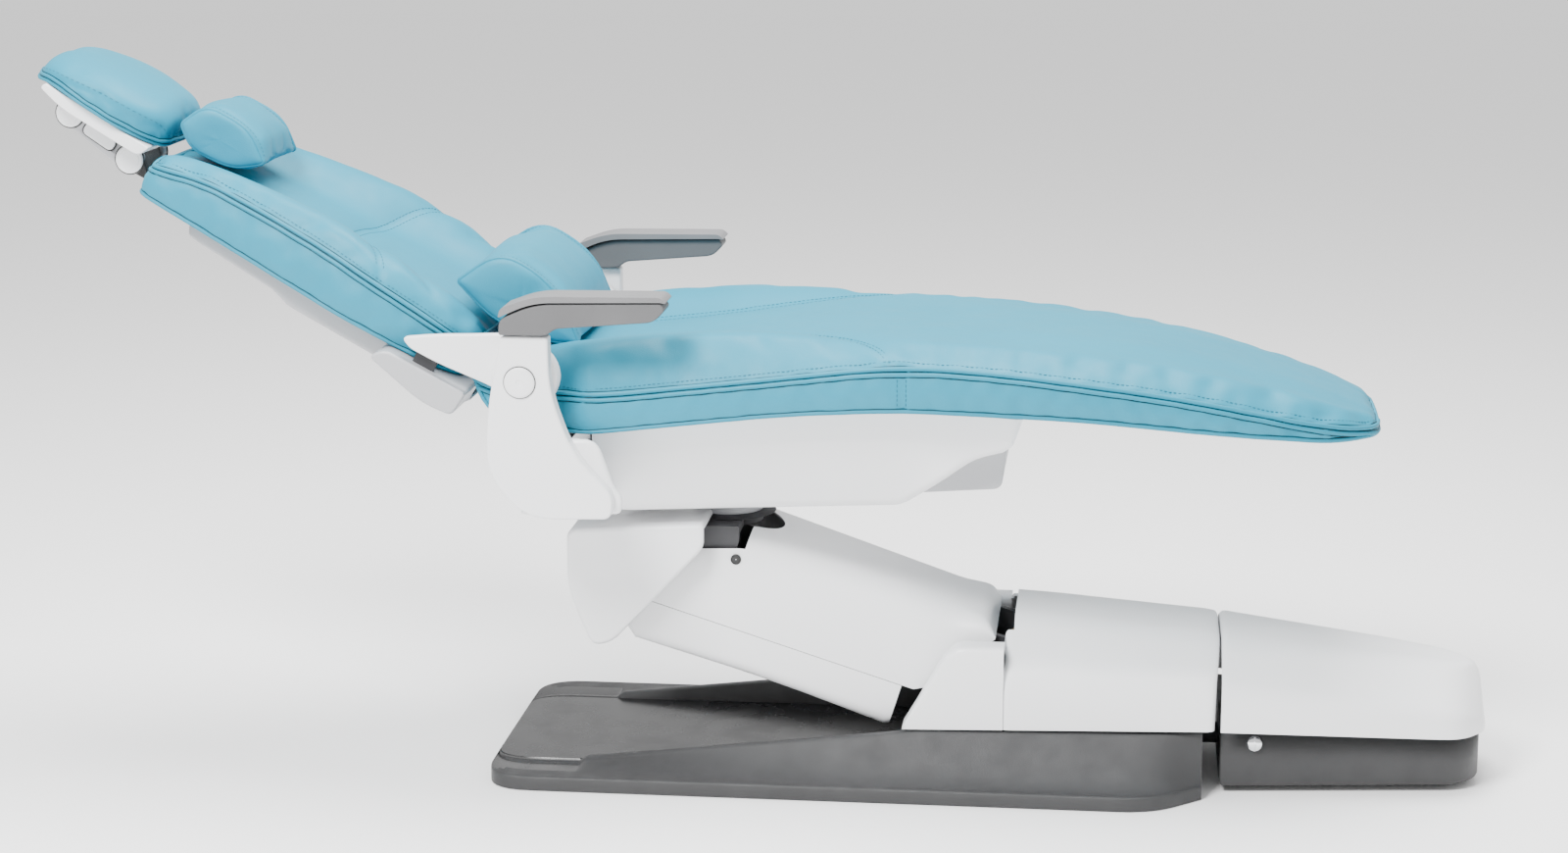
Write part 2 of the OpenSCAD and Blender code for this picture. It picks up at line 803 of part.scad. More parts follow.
module back_arm_right() {
    mirror([0, 1, 0]) back_side_arm();
}

module recline_shaft() {
    color(steel) translate(back_hinge) rotate([0, -recline_lead, 0])
        y_bar([0, 0, -recline_len], recline_shaft_r, -back_arm[1] + 6, back_arm[1] - 6);
}

module back_frame() {
    cross_at = [118, 300, 488];
    color(dark_grey) on_back() {
        both_sides() tube([105, 110, rail_low], [518, 135, rail_high], 0);
        for (u = cross_at) block([u, -111, rail_low], [u + 28, 111, rail_low + 5]);
        both_sides() tube([118, 134, rail_low], [150, blade[0], rail_high], 1);
        both_sides() block([118, blade[0] - 8, rail_low], [150, blade[0], -24]);
    }
}

function back_shell_side(t) = [[96 - t * 2, -67 + 20 * sign(t), 0],
    [530 - t, -67 + 20 * sign(t), 0], [524 - t, -90 + t, 8], [376, -94 + t, 6],
    [354, -104 + t, 8], [110, -110 + t, 20], [64 - t * 2, -106 + t, 4]];

module back_shell() {
    color(pale_grey) on_back() difference() {
        intersection() {
            side_form(back_shell_side(0), -200, 200);
            plan_form(mirrored([[60, 172, 20], [360, 172, 20], [531, 150, 20]]), -130, 0);
        }
        intersection() {
            side_form(back_shell_side(3), -200, 200);
            plan_form(mirrored([[0, 169, 0], [360, 169, 20], [528, 147, 20]]), -130, 0);
        }
        block([112, -200, -86], [154, 200, -60]);
        block([500, -63, -80], [540, 63, -60]);
    }
}

module back_cushion() {
    half = mirrored([[80, 196, 20], [130, 226, 30], [260, 236, 60], [360, 216, 60],
        [460, 196, 60], [back_len, 172, 26]]);
    base = [[back_len - 8, -66, 6], [84, -66, 8]];
    centre_top = [[92, 2, 6], [300, 2, 0], [back_len, -14, 6]];
    side_top = [[92, 6, 8], [160, 28, 30], [280, 38, 50], [400, 16, 50], [500, -4, 20],
        [back_len, -14, 6]];
    color(sky_blue) on_back() intersection() {
        union() {
            side_form(concat(base, centre_top), -240, 240);
            both_sides() side_form(concat(base, side_top), 172, 240);
        }
        plan_form(half, -80, 60);
    }
}

module headrest_guide() {
    color(near_black) on_back() difference() {
        block([470, -62, -79], [590, 62, -67]);
        block([460, -bar_y - 0.3, bar_low - 0.3], [600, bar_y + 0.3, bar_high + 0.3]);
    }
}

module lumbar_pillow() {
    color(sky_blue) on_back() side_form([[-48, 44, 4], [10, 20, 30], [90, 12, 40],
        [162, 40, 4], [124, 118, 40], [30, 112, 50]], -163, 163);
}

// ---- Headrest -------------------------------------------------------------------

module headrest_bar() {
    color(near_black) {
        on_back() block([330, -bar_y, bar_low], [632, bar_y, bar_high]);
        difference() {
            union() {
                on_back() side_form([[610, bar_low + 1, 0], [668, bar_low + 1, 12], [674, -58, 0],
                    [656, -49, 0], [636, bar_high - 1, 8], [610, bar_high - 1, 0]], -40, 40);
                y_bar(head_low, 15, -41, 41);
            }
            y_bar(head_low, head_pin_r + run_gap, -50, 50);
        }
    }
}

module neck_pillow() {
    color(sky_blue) on_back() side_form([[478, 40, 4], [520, 8, 24], [590, 4, 20],
        [624, 32, 4], [603, 82, 24], [520, 78, 40]], -93, 93);
}

cheek = [42, 54];
cheek_r = 18;
disc_r = 20;
disc_t = 6;
button_r = 9;
button_run = 32;

module button_form(r, y0, y1) {
    mid = head_link_len / 2;
    on_head() {
        y_bar([mid - button_run / 2, 0, 3], r, y0, y1);
        y_bar([mid + button_run / 2, 0, 3], r, y0, y1);
        block([mid - button_run / 2, y0, 3 - r], [mid + button_run / 2, y1, 3 + r]);
    }
}

// Two cheeks with a bridge between them, the hinge pins, and a round cap over each pin.
module headrest_link() {
    far = [head_link_len, 0, 7];
    color(pale_grey) difference() {
        on_head() union() {
            both_sides() {
                for (p = [[0, 0, 0], far]) y_bar(p, cheek_r, cheek[0], cheek[1]);
                side_form([[0, -16, 0], [0, 16, 0], [far.x, 23, 0], [far.x, -9, 0]],
                    cheek[0], cheek[1]);
                for (p = [[0, 0, 0], far]) y_bar(p, disc_r, cheek[1], cheek[1] + disc_t);
            }
            for (p = [[0, 0, 0], far]) y_bar(p, head_pin_r, -cheek[0] - 1, cheek[0] + 1);
            side_form([[42, -9, 4], [42, 15, 4], [66, 15, 4], [66, -9, 4]], -41, cheek[0] + 1);
        }
        button_form(button_r + 0.5, -cheek[1] - 1, -cheek[0] + 1);
    }
}

module headrest_button() {
    color(white) button_form(button_r, -cheek[1] - 5, -cheek[0] - 4);
}

// The tray under the headrest cushion, with its hinge lug.
module headrest_shell() {
    far = [head_link_len, 0, 7];
    color(white) on_head() difference() {
        union() {
            difference() {
                intersection() {
                    side_form([[-26, 45, 4], [-18, 26, 12], [110, 20, 30], [150, 28, 8],
                        [147, 38, 4]], -106, 106);
                    plan_form(mirrored([[-30, 84, 10], [20, 106, 30], [120, 104, 30],
                        [150, 80, 10]]), 0, 60);
                }
                side_form([[-60, -20, 0], [-60, 31, 0], [200, 27, 0], [200, -20, 0]], -64, 64);
            }
            y_bar(far, 14, -38, 38);
            side_form([[far.x - 13, far.z, 0], [far.x - 13, 33, 0], [far.x + 13, 33, 0],
                [far.x + 13, far.z, 0]], -38, 38);
        }
        y_bar(far, head_pin_r + run_gap, -50, 50);
    }
}

module headrest_cushion() {
    plan = mirrored([[-40, 96, 30], [20, head_y, 50], [110, head_y - 2, 50], [180, 92, 50]]);
    color(sky_blue) on_head() intersection() {
        side_form([[-36, 50, 6], [-18, 106, 26], [70, 98, 50], [172, 58, 24], [179, 24, 6],
            [154, 30, 4], [150, 41, 4], [-26, 48, 6]], -head_y, head_y);
        plan_form(plan, 0, 140);
    }
}

floor_plate();
base_skirt();
pivot_stand();
base_pins();
rear_housing();
pump_unit();
lift_cylinder();
lift_rod();
box_tray();
box_cover();
box_feet();
box_latch();
power_supply();
valve_bodies();
water_valve_handle();
air_valve_handle();
service_hose();
lift_arm();
arm_bushes();
yoke_pin();
arm_top_cover();
arm_under_cover();
parallel_link();
carriage();
carriage_pins();
carriage_shroud();
swivel_post();
swivel_hub();
swivel_bush();
swivel_collar();
seat_frame();
seat_shell();
seat_pan();
leg_board();
seat_cushion();
side_arm_left();
side_arm_right();
hinge_pins();
hinge_caps();
armrest_pins();
recline_cylinder();
recline_rod();
left_arm_base();
left_arm_pad();
right_arm_base();
right_arm_pad();
back_arm_left();
back_arm_right();
recline_shaft();
back_frame();
back_shell();
back_cushion();
headrest_guide();
lumbar_pillow();
headrest_bar();
neck_pillow();
headrest_link();
headrest_button();
headrest_shell();
headrest_cushion();
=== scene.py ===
"""Dental chair: the visual model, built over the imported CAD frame.

Lengths in the outlines are millimetres, in the local places set up below: x runs up along
the arm, back or headrest, y to the sitter's left and z off its face.
"""

import json
import math

import bpy
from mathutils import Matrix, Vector
from mathutils.bvhtree import BVHTree
from mathutils.kdtree import KDTree


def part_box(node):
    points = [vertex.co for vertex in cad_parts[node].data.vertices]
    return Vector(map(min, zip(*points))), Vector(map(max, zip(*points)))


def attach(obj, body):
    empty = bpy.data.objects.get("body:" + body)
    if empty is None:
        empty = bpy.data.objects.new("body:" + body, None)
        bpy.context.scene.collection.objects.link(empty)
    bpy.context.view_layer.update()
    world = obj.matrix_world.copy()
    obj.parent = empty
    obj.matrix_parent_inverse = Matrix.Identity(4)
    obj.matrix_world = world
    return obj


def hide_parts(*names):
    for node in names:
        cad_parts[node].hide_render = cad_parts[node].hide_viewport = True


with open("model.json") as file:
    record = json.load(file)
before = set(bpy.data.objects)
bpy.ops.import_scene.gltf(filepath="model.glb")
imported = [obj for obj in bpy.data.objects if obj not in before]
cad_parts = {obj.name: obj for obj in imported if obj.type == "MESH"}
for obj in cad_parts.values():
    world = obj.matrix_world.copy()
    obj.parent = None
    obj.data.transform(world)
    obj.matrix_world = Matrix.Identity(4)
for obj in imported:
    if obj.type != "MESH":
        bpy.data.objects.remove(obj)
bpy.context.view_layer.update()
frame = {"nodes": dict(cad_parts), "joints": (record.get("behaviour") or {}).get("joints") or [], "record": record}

MM = 0.001
UP = Vector((0, 0, 1))
LEFT = Vector((0, 1, 0))


# ---- Places -------------------------------------------------------------------------

def joint_point(name):
    """The anchor of a joint in the row frame, in metres."""
    return Vector(next(j for j in frame["joints"] if j["name"] == name)["pos_m"])


class Place:
    """A frame of millimetres: along runs up the part and off stands off its face."""

    def __init__(self, origin=(0, 0, 0), tilt=None):
        self.origin = Vector(origin)
        self.along = Vector((1, 0, 0))
        self.off = UP.copy()
        if tilt is not None:
            turn = math.radians(tilt)
            self.along = Vector((-math.cos(turn), 0, math.sin(turn)))
            self.off = Vector((math.sin(turn), 0, math.cos(turn)))

    def at(self, x, y, z):
        return self.origin + MM * (x * self.along + y * LEFT + z * self.off)


def slope_between(low, high):
    """The angle above level of the line from one point up to another, in degrees."""
    run = high - low
    return math.degrees(math.atan2(run.z, -run.x))


lift_point = joint_point("lift")
hinge_point = joint_point("back_recline")
head_point = joint_point("headrest_lower_tilt")
ARM_TILT = slope_between(lift_point, joint_point("carriage_level"))
BACK_TILT = 28.0
HEAD_TILT = 34.0

world = Place()
arm = Place(lift_point, ARM_TILT)
back = Place(hinge_point, BACK_TILT)
head = Place(head_point, HEAD_TILT)


# ---- Outlines -----------------------------------------------------------------------

def bend(a, b, c, cut, steps):
    """Points that round the corner b, starting cut before it and ending cut after it."""
    back_leg, front_leg = a - b, c - b
    reach = min(cut, 0.48 * back_leg.length, 0.48 * front_leg.length)
    start = b + back_leg.normalized() * reach
    end = b + front_leg.normalized() * reach
    points = []
    for i in range(steps + 1):
        t = i / steps
        points.append((1 - t) ** 2 * start + 2 * t * (1 - t) * b + t ** 2 * end)
    return points


def rounded(corners, closed=True, steps=6):
    """Turns (x, y, cut) corners into points, rounding each corner over its cut."""
    count = len(corners)
    points = []
    for i, (x, y, cut) in enumerate(corners):
        here = Vector((x, y))
        inner = closed or 0 < i < count - 1
        if cut <= 0 or not inner:
            points.append(here)
            continue
        before = Vector(corners[i - 1][:2])
        after = Vector(corners[(i + 1) % count][:2])
        points.extend(bend(before, here, after, cut, steps))
    return points


def track(*corners):
    """A function of x that follows rounded corners given as (x, value, cut)."""
    line = rounded(corners, closed=False, steps=8)

    def value(x):
        if x <= line[0].x:
            return line[0].y
        for a, b in zip(line, line[1:]):
            if x <= b.x and b.x > a.x:
                return a.y + (b.y - a.y) * (x - a.x) / (b.x - a.x)
        return line[-1].y

    return value


def steps_between(low, high, pitch):
    count = max(1, round((high - low) / pitch))
    return [low + (high - low) * i / count for i in range(count + 1)]


def eased_steps(low, high, pitch, ends=18):
    """Stations along a form that crowd together towards both ends."""
    near = [ends * f for f in (0, 0.04, 0.12, 0.25, 0.45, 0.7)]
    middle = steps_between(low + ends, high - ends, pitch)
    return [low + d for d in near] + middle + [high - d for d in reversed(near)]


def smoothstep(value, low, high):
    t = min(1.0, max(0.0, (value - low) / (high - low)))
    return t * t * (3 - 2 * t)


def spread(start, end, count):
    return [start + (end - start) * i / count for i in range(count + 1)]


def corner_path(corners, counts):
    """An open path of (x, y, cut) corners with a fixed number of points on each leg."""
    points = []
    last = len(corners) - 1
    for i, (x, y, cut) in enumerate(corners):
        here = Vector((x, y))
        if 0 < i < last:
            before, after = Vector(corners[i - 1][:2]), Vector(corners[i + 1][:2])
            points.extend(bend(before, here, after, cut, counts))
        else:
            points.append(here)
    return points


def mirror_path(half):
    """A half section from the +Y foot to the middle, carried on down to the -Y foot."""
    mirrored = [Vector((-p.x, p.y)) for p in reversed(half)]
    if abs(half[-1].x) < 1e-6:
        mirrored = mirrored[1:]
    return half + mirrored


# ---- Mesh tools ---------------------------------------------------------------------

def mesh_object(name, points, faces, finish, smooth=True):
    mesh = bpy.data.meshes.new(name)
    mesh.from_pydata([tuple(p) for p in points], [], faces)
    mesh.validate()
    mesh.update()
    if smooth:
        mesh.shade_smooth()
    mesh.materials.append(finish)
    obj = bpy.data.objects.new(name, mesh)
    bpy.context.scene.collection.objects.link(obj)
    return obj


def skin(name, rings, finish, closed=False, caps=False, skip=None, looped=False):
    """Joins rings of points with quads; skip(ring, point) leaves a quad out.

    A looped skin also joins its last ring to its first.
    """
    width = len(rings[0])
    if any(len(ring) != width for ring in rings):
        raise ValueError(f"{name}: its rings have different numbers of points")
    points = [p for ring in rings for p in ring]
    faces = []
    last = width if closed else width - 1
    for i in range(len(rings) if looped else len(rings) - 1):
        for j in range(last):
            if skip and skip(i, j):
                continue
            k = (j + 1) % width
            a, b = i * width, (i + 1) % len(rings) * width
            faces.append((a + j, a + k, b + k, b + j))
    if caps:
        start = (len(rings) - 1) * width
        faces.append(tuple(range(width))[::-1])
        faces.append(tuple(range(start, start + width)))
    return mesh_object(name, points, faces, finish)


def bake(obj):
    """Replaces the mesh with the result of its modifiers."""
    graph = bpy.context.evaluated_depsgraph_get()
    mesh = bpy.data.meshes.new_from_object(obj.evaluated_get(graph))
    obj.modifiers.clear()
    old = obj.data
    obj.data = mesh
    bpy.data.meshes.remove(old)
    mesh.name = obj.name
    return obj


def bevel(obj, width, segments=3, angle=35):
    mod = obj.modifiers.new("bevel", "BEVEL")
    mod.width = width * MM
    mod.segments = segments
    mod.limit_method = "ANGLE"
    mod.angle_limit = math.radians(angle)
    mod.harden_normals = False
    weighted = obj.modifiers.new("normals", "WEIGHTED_NORMAL")
    weighted.keep_sharp = True
    return obj


def thicken(obj, wall, crease=34):
    """Gives an open skin its wall and keeps the edges of the wall crisp."""
    mod = obj.modifiers.new("wall", "SOLIDIFY")
    mod.thickness = wall * MM
    mod.offset = -1
    bake(obj)
    obj.data.set_sharp_from_angle(angle=math.radians(crease))
    return obj


def cut_away(obj, *cutters):
    """Subtracts the cutters from obj, then removes them."""
    for cutter in cutters:
        mod = obj.modifiers.new("cut", "BOOLEAN")
        mod.operation = "DIFFERENCE"
        mod.solver = "EXACT"
        mod.object = cutter
    bake(obj)
    for cutter in cutters:
        bpy.data.objects.remove(cutter)
    return obj


def outward(obj):
    """Turns every face to look out of a closed form."""
    bpy.context.view_layer.objects.active = obj
    obj.select_set(True)
    bpy.ops.object.mode_set(mode="EDIT")
    bpy.ops.mesh.select_all(action="SELECT")
    bpy.ops.mesh.normals_make_consistent(inside=False)
    bpy.ops.object.mode_set(mode="OBJECT")
    obj.select_set(False)
    return obj


def side_plate(name, corners, place, y0, y1, finish, edge=3, segments=3, steps=6):
    """A side outline (x, z) between two values of y, with rolled edges."""
    line = rounded(corners, steps=steps)
    rings = [[place.at(p.x, y, p.y) for p in line] for y in (y0, y1)]
    obj = outward(skin(name, rings, finish, closed=True, caps=True))
    if edge:
        bevel(obj, edge, segments)
    return obj


def plan_stack(name, corners, levels, finish, middle, steps=6, slope=lambda x: 0.0):
    """A plan outline stacked at (height, inset) levels; slope lowers it along x."""
    line = rounded(corners, steps=steps)
    centre = Vector(middle)
    rings = []
    for height, inset in levels:
        ring = []
        for p in line:
            arm_out = p - centre
            q = centre + arm_out * (1 - inset / arm_out.length)
            ring.append(world.at(q.x, q.y, height - slope(q.x) * (height > 40)))
        rings.append(ring)
    return outward(skin(name, rings, finish, closed=True, caps=True))


def mirrored_plan(corners):
    return corners + [(x, -y, cut) for x, y, cut in reversed(corners)]


def box_form(name, low, high, finish, edge=2, place=world):
    corners = [(low[0], low[2], 0), (high[0], low[2], 0), (high[0], high[2], 0),
               (low[0], high[2], 0)]
    return side_plate(name, corners, place, low[1], high[1], finish, edge)


def lathe(name, profile, centre, axis, finish, turns=48):
    """Turns a profile of (radius, height) points about an axis through centre."""
    spin = axis.to_track_quat("Z", "Y").to_matrix()
    rings = []
    for radius, height in profile:
        ring = []
        for i in range(turns):
            turn = 2 * math.pi * i / turns
            local = Vector((radius * math.cos(turn), radius * math.sin(turn), height))
            ring.append(centre + spin @ (local * MM))
        rings.append(ring)
    obj = outward(skin(name, rings, finish, closed=True, caps=True))
    obj.data.set_sharp_from_angle(angle=math.radians(38))
    return obj


def cord(name, points, radius, finish, closed=False, sides=8):
    """A round cord through points in the row frame."""
    count = len(points)
    rings = []
    ahead = None
    for i, p in enumerate(points):
        after = points[(i + 1) % count] if closed or i < count - 1 else p
        before = points[i - 1] if closed or i > 0 else p
        along = (after - before).normalized()
        if ahead is None:
            ahead = along.orthogonal().normalized()
        side = (ahead - along * ahead.dot(along)).normalized()
        ahead = side
        over = along.cross(side)
        rings.append([p + radius * MM * (math.cos(t) * side + math.sin(t) * over)
                      for t in (2 * math.pi * k / sides for k in range(sides))])
    return skin(name, rings, finish, closed=True, caps=not closed, looped=closed)


def resample(points, gap):
    """Points along a line at an even spacing, in metres."""
    out = [points[0]]
    carry = gap
    for a, b in zip(points, points[1:]):
        length = (b - a).length
        walked = carry
        while walked <= length and length > 0:
            out.append(a.lerp(b, walked / length))
            walked += gap
        carry = walked - length
    return out


def stitches(name, lines, finish, length=4.2, gap=2.4, radius=0.55):
    """Short rounded threads laid end to end along each line."""
    points, faces = [], []
    profile = [(-0.5, 0.35), (-0.38, 0.95), (0.0, 1.0), (0.38, 0.95), (0.5, 0.35)]
    sides = 5
    for line in lines:
        spots = resample(line, (length + gap) * MM)
        for a, b in zip(spots, spots[1:]):
            along = (b - a).normalized()
            side = along.orthogonal().normalized()
            over = along.cross(side)
            first = len(points)
            for place_on, width in profile:
                middle = a.lerp(b, 0.5) + along * place_on * length * MM
                for k in range(sides):
                    turn = 2 * math.pi * k / sides
                    points.append(middle + radius * width * MM
                                  * (math.cos(turn) * side + math.sin(turn) * over))
            for i in range(len(profile) - 1):
                for k in range(sides):
                    n = (k + 1) % sides
                    r0, r1 = first + i * sides, first + (i + 1) * sides
                    faces.append((r0 + k, r0 + n, r1 + n, r1 + k))
            faces.append(tuple(first + k for k in reversed(range(sides))))
            end = first + (len(profile) - 1) * sides
            faces.append(tuple(end + k for k in range(sides)))
    return mesh_object(name, points, faces, finish)


def mount(obj, body, slot, *nodes):
    """Puts a piece on its body and hides the CAD nodes it stands for; slot is not used."""
    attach(obj, body)
    if nodes:
        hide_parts(*nodes)
    return obj


# ---- Finishes -----------------------------------------------------------------------

class Nodes:
    """A small helper round one material's node tree."""

    def __init__(self, name):
        self.material = bpy.data.materials.new(name)
        self.material.use_nodes = True
        self.tree = self.material.node_tree
        self.shader = self.tree.nodes["Principled BSDF"]
        self.space = self.tree.nodes.new("ShaderNodeTexCoord").outputs["Object"]

    def link(self, source, target):
        self.tree.links.new(source, target)

    def noise(self, scale, detail=3.0, stretch=None):
        node = self.tree.nodes.new("ShaderNodeTexNoise")
        node.inputs["Scale"].default_value = scale
        node.inputs["Detail"].default_value = detail
        source = self.space
        if stretch:
            mapping = self.tree.nodes.new("ShaderNodeMapping")
            mapping.inputs["Scale"].default_value = stretch
            self.link(self.space, mapping.inputs["Vector"])
            source = mapping.outputs["Vector"]
        self.link(source, node.inputs["Vector"])
        return node.outputs["Fac"]

    def cells(self, scale):
        node = self.tree.nodes.new("ShaderNodeTexVoronoi")
        node.feature = "DISTANCE_TO_EDGE"
        node.inputs["Scale"].default_value = scale
        self.link(self.space, node.inputs["Vector"])
        return node.outputs["Distance"]

    def scaled(self, source, low, high, from_low=0.3, from_high=0.7):
        node = self.tree.nodes.new("ShaderNodeMapRange")
        node.inputs["From Min"].default_value = from_low
        node.inputs["From Max"].default_value = from_high
        node.inputs["To Min"].default_value = low
        node.inputs["To Max"].default_value = high
        self.link(source, node.inputs["Value"])
        return node.outputs["Result"]

    def tint(self, factor, low, high):
        node = self.tree.nodes.new("ShaderNodeMix")
        node.data_type = "RGBA"
        node.inputs["A"].default_value = (*low, 1)
        node.inputs["B"].default_value = (*high, 1)
        self.link(factor, node.inputs["Factor"])
        return node.outputs["Result"]

    def add(self, a, b):
        node = self.tree.nodes.new("ShaderNodeMath")
        node.operation = "ADD"
        self.link(a, node.inputs[0])
        self.link(b, node.inputs[1])
        return node.outputs[0]

    def relief(self, height, depth, strength=0.6):
        node = self.tree.nodes.new("ShaderNodeBump")
        node.inputs["Strength"].default_value = strength
        node.inputs["Distance"].default_value = depth * MM
        self.link(height, node.inputs["Height"])
        self.link(node.outputs["Normal"], self.shader.inputs["Normal"])

    def colour(self, source):
        self.link(source, self.shader.inputs["Base Color"])

    def rough(self, source):
        self.link(source, self.shader.inputs["Roughness"])

    def set(self, **values):
        for key, value in values.items():
            self.shader.inputs[key.replace("_", " ")].default_value = value


def shaded(colour, factor):
    return tuple(c * factor for c in colour)


def vinyl_finish(name, colour):
    """Soft upholstery vinyl: leather grain, a little sheen and uneven gloss."""
    n = Nodes(name)
    cloudy = n.scaled(n.noise(7, 4), 0, 1)
    n.colour(n.tint(cloudy, shaded(colour, 0.965), shaded(colour, 1.03)))
    n.rough(n.scaled(n.noise(24, 4), 0.44, 0.58))
    grain = n.add(n.scaled(n.cells(420), 0, 1, 0, 0.25), n.noise(900, 2))
    n.relief(grain, 0.22, 0.35)
    n.set(Sheen_Weight=0.03, Sheen_Roughness=0.4, Specular_IOR_Level=0.34)
    return n.material


def moulded_finish(name, colour, low=0.28, high=0.4, peel=0.10, coat=0.0):
    """Moulded plastic: faint orange peel, slightly uneven gloss and colour."""
    n = Nodes(name)
    n.colour(n.tint(n.scaled(n.noise(5, 3), 0, 1), shaded(colour, 0.985), colour))
    n.rough(n.scaled(n.noise(16, 5), low, high))
    n.relief(n.add(n.noise(260, 2), n.noise(1400, 1)), peel, 0.3)
    n.set(Coat_Weight=coat, Coat_Roughness=0.15)
    return n.material


def grained_finish(name, colour, low, high, scale=700, depth=0.25):
    """Textured plastic or rubber with a pebble grain and rubbed patches."""
    n = Nodes(name)
    rubbed = n.scaled(n.noise(9, 6), 0, 1)
    n.colour(n.tint(rubbed, shaded(colour, 0.9), shaded(colour, 1.08)))
    n.rough(n.scaled(n.noise(30, 4), low, high))
    n.relief(n.add(n.scaled(n.cells(scale), 0, 1, 0, 0.3), n.noise(2 * scale, 2)), depth, 0.45)
    return n.material


def metal_finish(name, colour, low, high, stretch, depth=0.03):
    """Turned or brushed metal: streaks along one way and a few dull patches."""
    n = Nodes(name)
    streaks = n.noise(120, 5, stretch)
    n.colour(n.tint(n.scaled(n.noise(12, 4), 0, 1), shaded(colour, 0.85), colour))
    n.rough(n.scaled(streaks, low, high))
    n.relief(streaks, depth, 0.4)
    n.set(Metallic=1.0)
    return n.material


def thread_finish(name, colour):
    n = Nodes(name)
    n.colour(n.tint(n.scaled(n.noise(900, 2), 0, 1), shaded(colour, 0.8), colour))
    n.rough(n.scaled(n.noise(300, 2), 0.6, 0.8))
    return n.material


VINYL = (0.006, 0.225, 0.335)
vinyl = vinyl_finish("vinyl", VINYL)
welt_vinyl = vinyl_finish("welt_vinyl", shaded(VINYL, 0.93))
# Near-black vinyl for the thin cords beside the piping: painted shadow of the seam grooves.
seam_shadow_vinyl = vinyl_finish("seam_shadow_vinyl", shaded(VINYL, 0.12))
thread = thread_finish("thread", shaded(VINYL, 0.55))
white = moulded_finish("cover_white", (0.84, 0.845, 0.855))
grey_shell = moulded_finish("shell_grey", (0.40, 0.405, 0.42), 0.32, 0.45)
pad_top = grained_finish("armrest_pad", (0.165, 0.165, 0.17), 0.5, 0.62, 900, 0.12)
pad_body = grained_finish("armrest_body", (0.105, 0.105, 0.108), 0.5, 0.65, 900, 0.12)
skirt_dark = grained_finish("skirt_dark", (0.030, 0.030, 0.031), 0.42, 0.6, 800, 0.3)
deck_gloss = moulded_finish("deck_gloss", (0.010, 0.010, 0.011), 0.2, 0.34, 0.06, 0.1)
frame_dark = grained_finish("frame_dark", (0.035, 0.035, 0.038), 0.4, 0.6, 600, 0.2)
steel = metal_finish("steel", (0.62, 0.63, 0.65), 0.2, 0.42, (1, 14, 14))
chrome = metal_finish("chrome", (0.82, 0.83, 0.85), 0.05, 0.14, (2, 2, 2), 0.01)
bronze = metal_finish("bronze", (0.70, 0.50, 0.26), 0.25, 0.45, (10, 1, 10))
black_plastic = grained_finish("black_plastic", (0.018, 0.018, 0.018), 0.35, 0.5, 900, 0.15)
rubber = grained_finish("hose_black", (0.02, 0.02, 0.022), 0.55, 0.7, 500, 0.3)
handle_blue = moulded_finish("handle_blue", (0.06, 0.22, 0.6), 0.25, 0.35, 0.08, 0.3)
button_white = moulded_finish("button_white", (0.78, 0.79, 0.80), 0.25, 0.35)

FINISHES = {
    "vinyl": vinyl, "cover_white": white, "shell_grey": grey_shell, "armrest_grey": pad_body,
    "skirt_dark": skirt_dark, "frame_dark": frame_dark, "steel": steel, "chrome": chrome,
    "bronze": bronze, "black_plastic": black_plastic, "hose_black": rubber,
    "handle_blue": handle_blue, "button_white": button_white,
}


def dress_cad_nodes():
    """The inner works keep their CAD meshes, with a finish from the record's slots."""
    for part in frame["record"]["subparts"]:
        obj = frame["nodes"][part["node"]]
        obj.data.materials.clear()
        obj.data.materials.append(FINISHES[part["material_slot"]])


# ---- Soft goods ---------------------------------------------------------------------

def ring_samples(points, pitch=3.0):
    """Dense samples along seam lines, for measuring the distance to a seam."""
    samples = []
    for line in points:
        samples.extend(resample(line, pitch * MM))
    tree = KDTree(max(1, len(samples)))
    for i, p in enumerate(samples):
        tree.insert(p, i)
    tree.balance()
    return tree


def puff(obj, held, cap, pressure=4.0, slack=0.03, frames=20):
    """Blows the cover up with a short cloth run; held vertices stay, travel is capped."""
    group = obj.vertex_groups.new(name="held")
    group.add(held, 1.0, "REPLACE")
    mod = obj.modifiers.new("cloth", "CLOTH")
    settings = mod.settings
    settings.vertex_group_mass = "held"
    settings.use_pressure = True
    settings.uniform_pressure_force = pressure
    settings.effector_weights.gravity = 0
    settings.shrink_min = -slack
    settings.quality = 5
    settings.tension_stiffness = 12
    settings.compression_stiffness = 12
    settings.bending_stiffness = 0.6
    mod.point_cache.frame_start = 1
    mod.point_cache.frame_end = frames
    scene = bpy.context.scene
    for number in range(1, frames + 1):
        scene.frame_set(number)
    graph = bpy.context.evaluated_depsgraph_get()
    blown = [v.co.copy() for v in obj.evaluated_get(graph).data.vertices]
    obj.modifiers.remove(mod)
    scene.frame_set(1)
    moves = []
    for vertex, target in zip(obj.data.vertices, blown):
        move = target - vertex.co
        if move.length > cap * MM:
            move = move.normalized() * cap * MM
        moves.append(move)
    return moves


def upholster(obj, held, seams, cap=7.0, reach=22.0, groove=2.6, groove_width=5.0):
    """Puffs the cover between its seams, refines it and presses the seams in."""
    seam_tree = ring_samples(seams) if seams else None
    moves = puff(obj, held, cap)
    for vertex, move in zip(obj.data.vertices, moves):
        hold = 0.0
        if seam_tree:
            distance = seam_tree.find(vertex.co)[2] / MM
            hold = math.exp(-(distance / reach) ** 2)
        vertex.co += move * (1 - hold)
    mod = obj.modifiers.new("refine", "SUBSURF")
    mod.levels = 1
    mod.render_levels = 1
    bake(obj)
    if seam_tree:
        normals = [v.normal.copy() for v in obj.data.vertices]
        for vertex, normal in zip(obj.data.vertices, normals):
            distance = seam_tree.find(vertex.co)[2] / MM
            depth = groove * math.exp(-(distance / groove_width) ** 2)
            vertex.co -= normal * depth * MM
    obj.data.shade_smooth()
    return obj


